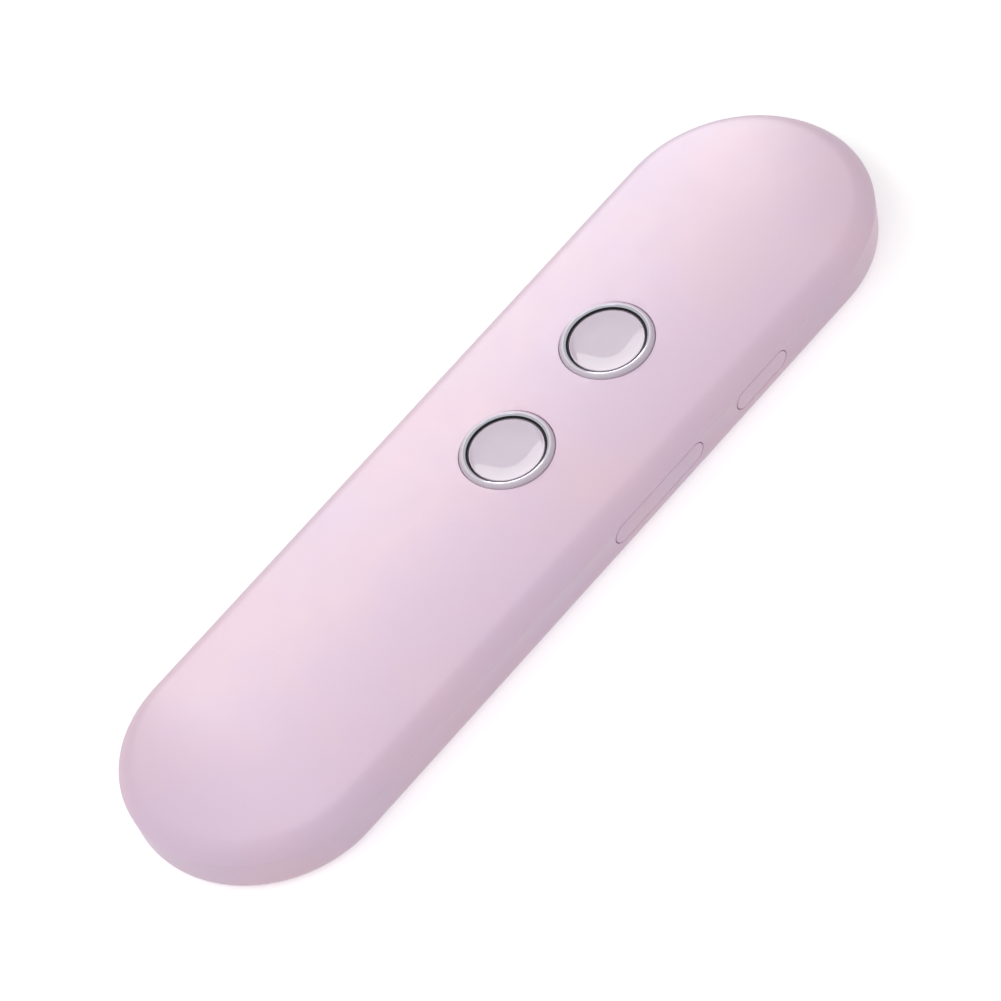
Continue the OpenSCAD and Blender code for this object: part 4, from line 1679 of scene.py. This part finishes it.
@dataclass
class SideKey:
    """A key in the side wall: a stadium face on a flange, with nubs for its switches.

    The volume key also has a pivot lug.
    """

    key: Key
    body: Body
    y: float
    length: float
    height: float
    z: float
    tip_x: float
    flange_x: float
    nub_ys: tuple[float, ...]
    flange_over: float = 0.5
    flange_t: float = 0.8
    rock: float = 1.8
    proud: float = 0.05
    seam_fill: float = 0.06
    edge: float = 0.12
    nub_r: float = 0.95
    lug_r: float = 1.0
    lug_steps: int = 16
    face_steps: int = 20
    edge_steps: int = 4

    @classmethod
    def from_frame(cls, key: Key, casing: Casing) -> SideKey:
        """Reads a key's sizes off the frame.

        Args:
            key: Which key.
            casing: The casing that it sits in.

        Returns:
            The key.
        """
        low, high = node_box(key.value)
        height = high.z - low.z - cls.flange_over
        length = high.y - low.y - 2 * cls.flange_over
        y = (low.y + high.y) / 2
        flange_x = casing.wall_x(low.z, casing.wall) - casing.stop_gap
        if key is Key.POWER:
            body, nubs = Body.POWER_BUTTON, (y,)
        else:
            body = Body.VOLUME_ROCKER
            nubs = tuple(node_middle(f"volume_{end}_plunger").y for end in ("up", "down"))
            flange_x -= (high.y - low.y) / 2 * math.tan(math.radians(cls.rock))
        return cls(key=key, body=body, y=y, length=length, height=height, z=high.z - height / 2,
                   tip_x=node_box("power_key")[0].x, flange_x=flange_x, nub_ys=nubs)

    @classmethod
    def both(cls, casing: Casing) -> list[SideKey]:
        """The power key and the volume rocker.

        Args:
            casing: The casing that they sit in.

        Returns:
            The two keys.
        """
        return [cls.from_frame(key, casing) for key in Key]

    def face(self, casing: Casing) -> Mesh:
        """The part that fills the slot, its face parallel to the side wall.

        Args:
            casing: The casing, whose wall the face follows.

        Returns:
            The mesh.
        """
        depth = casing.wall_x(self.z) + self.proud - self.flange_x + casing.root
        outline = stadium(self.length, self.height + 2 * self.seam_fill, self.face_steps)
        bm = prism(outline, (depth, 0, 0))
        lean = math.tan(math.radians(casing.draft))
        front = [v for v in bm.verts if v.co.x > depth / 2]
        for vert in front:
            vert.co.x += vert.co.z * lean
        rim = [e for e in bm.edges if all(v in front for v in e.verts)]
        round_edges(bm, rim, self.edge, self.edge_steps)
        bm.transform(Matrix.Translation((self.flange_x - casing.root, self.y, self.z)))
        return bm

    def lug(self, casing: Casing) -> Mesh:
        """The pivot lug, bored for the pin.

        Args:
            casing: The casing, which sets the lug's height.

        Returns:
            The mesh.
        """
        pin_low, pin_high = node_box("rocker_pin")
        x = (pin_low.x + pin_high.x) / 2
        end = self.flange_x - self.flange_t + casing.root
        low = self.z - casing.lug_h / 2
        turns = [math.radians(90 + 180 * i / self.lug_steps) for i in range(self.lug_steps + 1)]
        r = self.lug_r
        outline = [Vector((x + r * math.cos(a), self.y + r * math.sin(a), low)) for a in turns]
        outline += [Vector((end, self.y - r, low)), Vector((end, self.y + r, low))]
        bore_r = (pin_high.x - pin_low.x) / 2 + casing.fit_gap
        bore = rod((x, self.y, low - PAST), (0, 0, casing.lug_h + 2 * PAST), bore_r)
        return combine(prism(outline, (0, 0, casing.lug_h)), bore)

    def build(self, casing: Casing, paint: Paintbox) -> None:
        """Builds and dresses the key.

        Args:
            casing: The casing that it sits in.
            paint: Where the materials come from.
        """
        half = self.length / 2 + self.flange_over
        low = self.z - self.height / 2 - self.flange_over
        flange = box_solid((self.flange_x - self.flange_t, self.y - half, low),
                           (self.flange_x, self.y + half, self.z + self.height / 2), self.edge)
        behind = self.flange_x - self.flange_t + casing.root
        inner = [rod((self.tip_x, y, self.z), (behind - self.tip_x, 0, 0), self.nub_r) for y in self.nub_ys]
        if self.key is Key.VOLUME:
            inner.append(self.lug(casing))
        whole = combine(combine(flange, self.face(casing), Way.JOIN), merged(inner), Way.JOIN)
        settle(f"{self.key.value}_face", whole, self.body, [paint.slot(Slot.PEARL_SHELL)],
               [self.key.value])


# ---------------------------------------------------------------- ends and back


@dataclass
class SoundGrille:
    """A hexagonal patch of countersunk sound holes in the back, over the speaker."""

    hole_r: float = 0.5
    pitch: float = 2.1
    rings: int = 3
    sink_r: float = 0.68
    sink_h: float = 0.2
    depth: float = 1.45
    hole_steps: int = 24

    def cutters(self) -> Mesh:
        """Cutters for the holes.

        Returns:
            The mesh.
        """
        middle = node_middle("speaker_mesh")
        line = section((0, -PAST), (self.sink_r, -PAST), (self.sink_r, 0), (self.hole_r, self.sink_h))
        line += section((self.hole_r, self.depth), (0, self.depth))
        row = self.pitch * math.sin(math.radians(60))
        span = range(-self.rings, self.rings + 1)
        return merged([
            turned(line, self.hole_steps, ((i + j / 2) * self.pitch, middle.y + j * row, 0))
            for i in span for j in span if abs(i + j) <= self.rings
        ])


@dataclass
class ChargingEnd:
    """The charging socket in the top end: a sheet metal tube round a tongue with contacts on both sides."""

    sheet_t: float = 0.3
    mouth_edge: float = 0.1
    floor_t: float = 1.0
    tongue_w: float = 6.7
    tongue_t: float = 0.7
    tongue_edge: float = 0.12
    round_steps: int = 20
    contacts: int = 12
    contact_pitch: float = 0.5
    contact_w: float = 0.27
    contact_t: float = 0.03
    contact_edge: float = 0.02
    contact_run: Pair = (0.35, 3.9)

    def shell(self) -> Mesh:
        """The metal tube, closed behind, its mouth's edges rounded.

        Returns:
            The mesh.
        """
        low, high = node_box("port_shell")
        size = high - low
        z = (low.z + high.z) / 2
        thin, steps = 2 * self.sheet_t, self.round_steps
        outside = upright(size.x, size.z, z, low.y, steps)
        inside = upright(size.x - thin, size.z - thin, z, low.y + self.floor_t, steps)
        tube = combine(*(prism(outline, (0, size.y, 0)) for outline in (outside, inside)))
        round_lips(tube, lambda point: abs(point.y - high.y) < LIP_REACH, self.mouth_edge, 3)
        return tube

    def tongue(self) -> Mesh:
        """The tongue on its base plate, its edges rounded.

        Returns:
            The mesh.
        """
        low, high = node_box("port_tongue")
        z = (low.z + high.z) / 2
        outline = upright(high.x - low.x, high.z - low.z, z, low.y, self.round_steps)
        plate = prism(outline, (0, self.floor_t, 0))
        half = self.tongue_w / 2
        blade = box_solid((-half, low.y + self.floor_t / 2, z - self.tongue_t / 2),
                          (half, high.y, z + self.tongue_t / 2), self.tongue_edge)
        return combine(plate, blade, Way.JOIN)

    def contact_pads(self) -> Mesh:
        """The contacts on both sides of the tongue.

        Returns:
            The mesh.
        """
        low, high = node_box("port_tongue")
        middle_z = (low.z + high.z) / 2
        front, back = self.contact_run
        half, thick = self.contact_w / 2, self.contact_t
        pads = []
        for side in (1, -1):
            z = middle_z + side * self.tongue_t / 2
            for k in range(self.contacts):
                x = (k - (self.contacts - 1) / 2) * self.contact_pitch
                pads.append(box_solid((x - half, high.y - back, z - thick),
                                      (x + half, high.y - front, z + thick), self.contact_edge))
        return merged(pads)

    def build(self, paint: Paintbox) -> None:
        """Builds and dresses the socket.

        Args:
            paint: Where the materials come from.
        """
        settle("port_sleeve", self.shell(), Body.HOUSING, [paint.slot(Slot.SHEET_STEEL)],
               ["port_shell"])
        settle("port_blade", self.tongue(), Body.HOUSING, [paint.slot(Slot.BLACK_NYLON)],
               ["port_tongue"])
        settle("port_contacts", self.contact_pads(), Body.HOUSING,
               [paint.of(GOLD_CONTACT)])


# ---------------------------------------------------------------- the rest


def dress_nodes(frame: dict, paint: Paintbox) -> None:
    """Gives every CAD node the finish of its slot.

    Args:
        paint: Where the materials come from.
    """
    for row in frame["record"]["subparts"]:
        node = frame["nodes"][row["node"]]
        node.data.materials.clear()
        node.data.materials.append(paint.slot(Slot(row["material_slot"])))


@dataclass(frozen=True)
class Lamp:
    """An area lamp that faces the body from a direction in the floor's plane and a height above it."""

    name: str
    across: Pair
    height: float
    watts: float
    shine: Shine
    tall: float = 1.0
    width_m: float = 0.7
    distance_m: float = 1.2

    def build(self) -> None:
        """Adds the lamp."""
        data = bpy.data.lights.new(self.name, "AREA")
        data.shape = "RECTANGLE"
        data.size = self.width_m
        data.size_y = self.width_m * self.tall
        data.energy = self.watts
        lamp = bpy.data.objects.new(self.name, data)
        rise = math.radians(self.height)
        flat = Vector(self.across).normalized() * math.cos(rise)
        lamp.location = Vector((flat.x, flat.y, math.sin(rise))) * self.distance_m
        lamp.rotation_euler = (-lamp.location).to_track_quat("-Z", "Y").to_euler()
        lamp.visible_diffuse = self.shine is Shine.EVEN
        lamp.visible_glossy = self.shine is Shine.GLOSS
        bpy.context.scene.collection.objects.link(lamp)


LAMPS = (
    Lamp("front_lamp", (0.5, -0.6), 60, 2.5, Shine.EVEN),
    Lamp("end_lamp", (-0.3, -1.0), 56, 2.4, Shine.EVEN),
    Lamp("left_lamp", (-1.0, -0.3), 35, 2.2, Shine.EVEN),
    Lamp("right_lamp", (1.0, 0.0), 25, 0.45, Shine.EVEN),
    Lamp("far_lamp", (0.5, 1.0), 25, 1.5, Shine.EVEN),
    Lamp("low_gloss_lamp", (-0.82, 0.57), 24.5, 9.6, Shine.GLOSS, 1.385),
    Lamp("high_gloss_lamp", (-0.82, 0.57), 68, 3.8, Shine.GLOSS, 1.35),
)


@dataclass
class Studio:
    """The camera, the world and the floor, with the lamps round them."""

    towards: tuple[float, float, float] = (0.5333, -0.3653, 0.7631)
    up: tuple[float, float, float] = (-0.3982, 0.6874, 0.6073)
    distance_m: float = 1.1
    clip_m: Pair = (0.01, 20.0)
    frame_px: int = 1001
    px_per_mm: float = 7.462
    origin_px: Pair = (512.6, 509.7)
    sensor_mm: float = 36.0
    even_light: float = 0.43
    white: Colour = (0.92, 0.92, 0.92)
    floor_half_m: float = 4.0
    floor_cloud_mm: float = 60.0
    floor_level: float = 0.995
    floor_glow: float = 0.42
    floor_drop: float = 0.02
    under_reach: float = 0.5

    def camera(self) -> None:
        """Places the camera by its view direction, distance and scale at the origin."""
        back = Vector(self.towards).normalized()
        up = Vector(self.up)
        up = (up - up.dot(back) * back).normalized()
        right = up.cross(back)
        data = bpy.data.cameras.new("camera")
        data.sensor_width = self.sensor_mm
        data.lens = self.px_per_mm / MM * self.distance_m * self.sensor_mm / self.frame_px
        data.clip_start, data.clip_end = self.clip_m
        offset_x, offset_y = ((px - self.frame_px / 2) / self.px_per_mm * MM for px in self.origin_px)
        place = back * self.distance_m - right * offset_x + up * offset_y
        cam = bpy.data.objects.new("camera", data)
        cam.matrix_world = Matrix.Translation(place) @ Matrix((right, up, back)).transposed().to_4x4()
        bpy.context.scene.collection.objects.link(cam)
        bpy.context.scene.camera = cam

    def world(self) -> None:
        """White to the camera and to reflections, and a plain even light on the rest."""
        world = bpy.data.worlds.new("world")
        g = Graph(world)
        path = g.add("ShaderNodeLightPath").outputs
        seen = g.greatest(path["Is Camera Ray"], path["Is Glossy Ray"], path["Is Transmission Ray"])
        level = g.ramp(seen, 0.0, 1.0, self.even_light, 1.0)
        sky = g.add("ShaderNodeBackground", {"Strength": level})
        g.add("ShaderNodeOutputWorld", {"Surface": sky.outputs["Background"]})
        bpy.context.scene.world = world

    def floor_finish(self) -> Material:
        """The floor's material, white to the camera where it is lit and open from underneath.

        Returns:
            The material.
        """
        g = Graph(bpy.data.materials.new("floor_white"))
        path = g.add("ShaderNodeLightPath").outputs
        tint = g.shade(g.vary(g.noise(self.floor_cloud_mm)), self.white, self.floor_level)
        matt = g.add("ShaderNodeBsdfDiffuse", {"Color": tint}).outputs["BSDF"]
        lift = g.ramp(path["Is Camera Ray"], 0.0, 1.0, 0.0, self.floor_glow)
        glow = g.add("ShaderNodeEmission", {"Strength": lift}).outputs["Emission"]
        lit = g.add("ShaderNodeAddShader", {0: matt, 1: glow}).outputs["Shader"]
        mirrored = g.greatest(path["Is Glossy Ray"], path["Is Transmission Ray"])
        plain = g.add("ShaderNodeEmission", {"Strength": 1.0}).outputs["Emission"]
        both = g.add("ShaderNodeMixShader", {0: mirrored, 1: lit, 2: plain}).outputs["Shader"]
        near = g.add("ShaderNodeMath", {0: path["Ray Length"], 1: self.under_reach * MM},
                     operation="LESS_THAN").outputs["Value"]
        through = g.greatest(near, g.add("ShaderNodeNewGeometry").outputs["Backfacing"])
        clear = g.add("ShaderNodeBsdfTransparent").outputs["BSDF"]
        sheet = g.add("ShaderNodeMixShader", {0: through, 1: both, 2: clear}).outputs["Shader"]
        g.add("ShaderNodeOutputMaterial", {"Surface": sheet})
        return g.owner

    def floor(self) -> None:
        """A pale floor just under the body, which keeps the body's shadow."""
        bm = bmesh.new()
        bmesh.ops.create_grid(bm, x_segments=1, y_segments=1, size=self.floor_half_m,
                              matrix=Matrix.Translation((0, 0, -self.floor_drop * MM)))
        mesh = bpy.data.meshes.new("floor")
        bm.to_mesh(mesh)
        bm.free()
        mesh.materials.append(self.floor_finish())
        obj = bpy.data.objects.new("floor", mesh)
        bpy.context.scene.collection.objects.link(obj)

    def build(self) -> None:
        """Sets up the whole studio."""
        self.camera()
        self.floor()
        self.world()
        for lamp in LAMPS:
            lamp.build()
        bpy.context.scene.view_settings.view_transform = "Standard"


def main() -> None:
    """Builds every sub-assembly around the frame, in order."""
    logging.basicConfig(level=logging.INFO, format="%(name)s: %(message)s")
    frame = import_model()
    paint = Paintbox()
    dress_nodes(frame, paint)
    casing = Casing.from_frame()
    buttons = [TalkButton.from_frame(which) for which in Talk]
    FrontShell(casing).build(paint, buttons)
    BackShell(casing).build(paint)
    for button in buttons:
        button.build(paint)
    for key in SideKey.both(casing):
        key.build(casing, paint)
    ChargingEnd().build(paint)
    Studio().build()


if __name__ == "__main__":
    main()
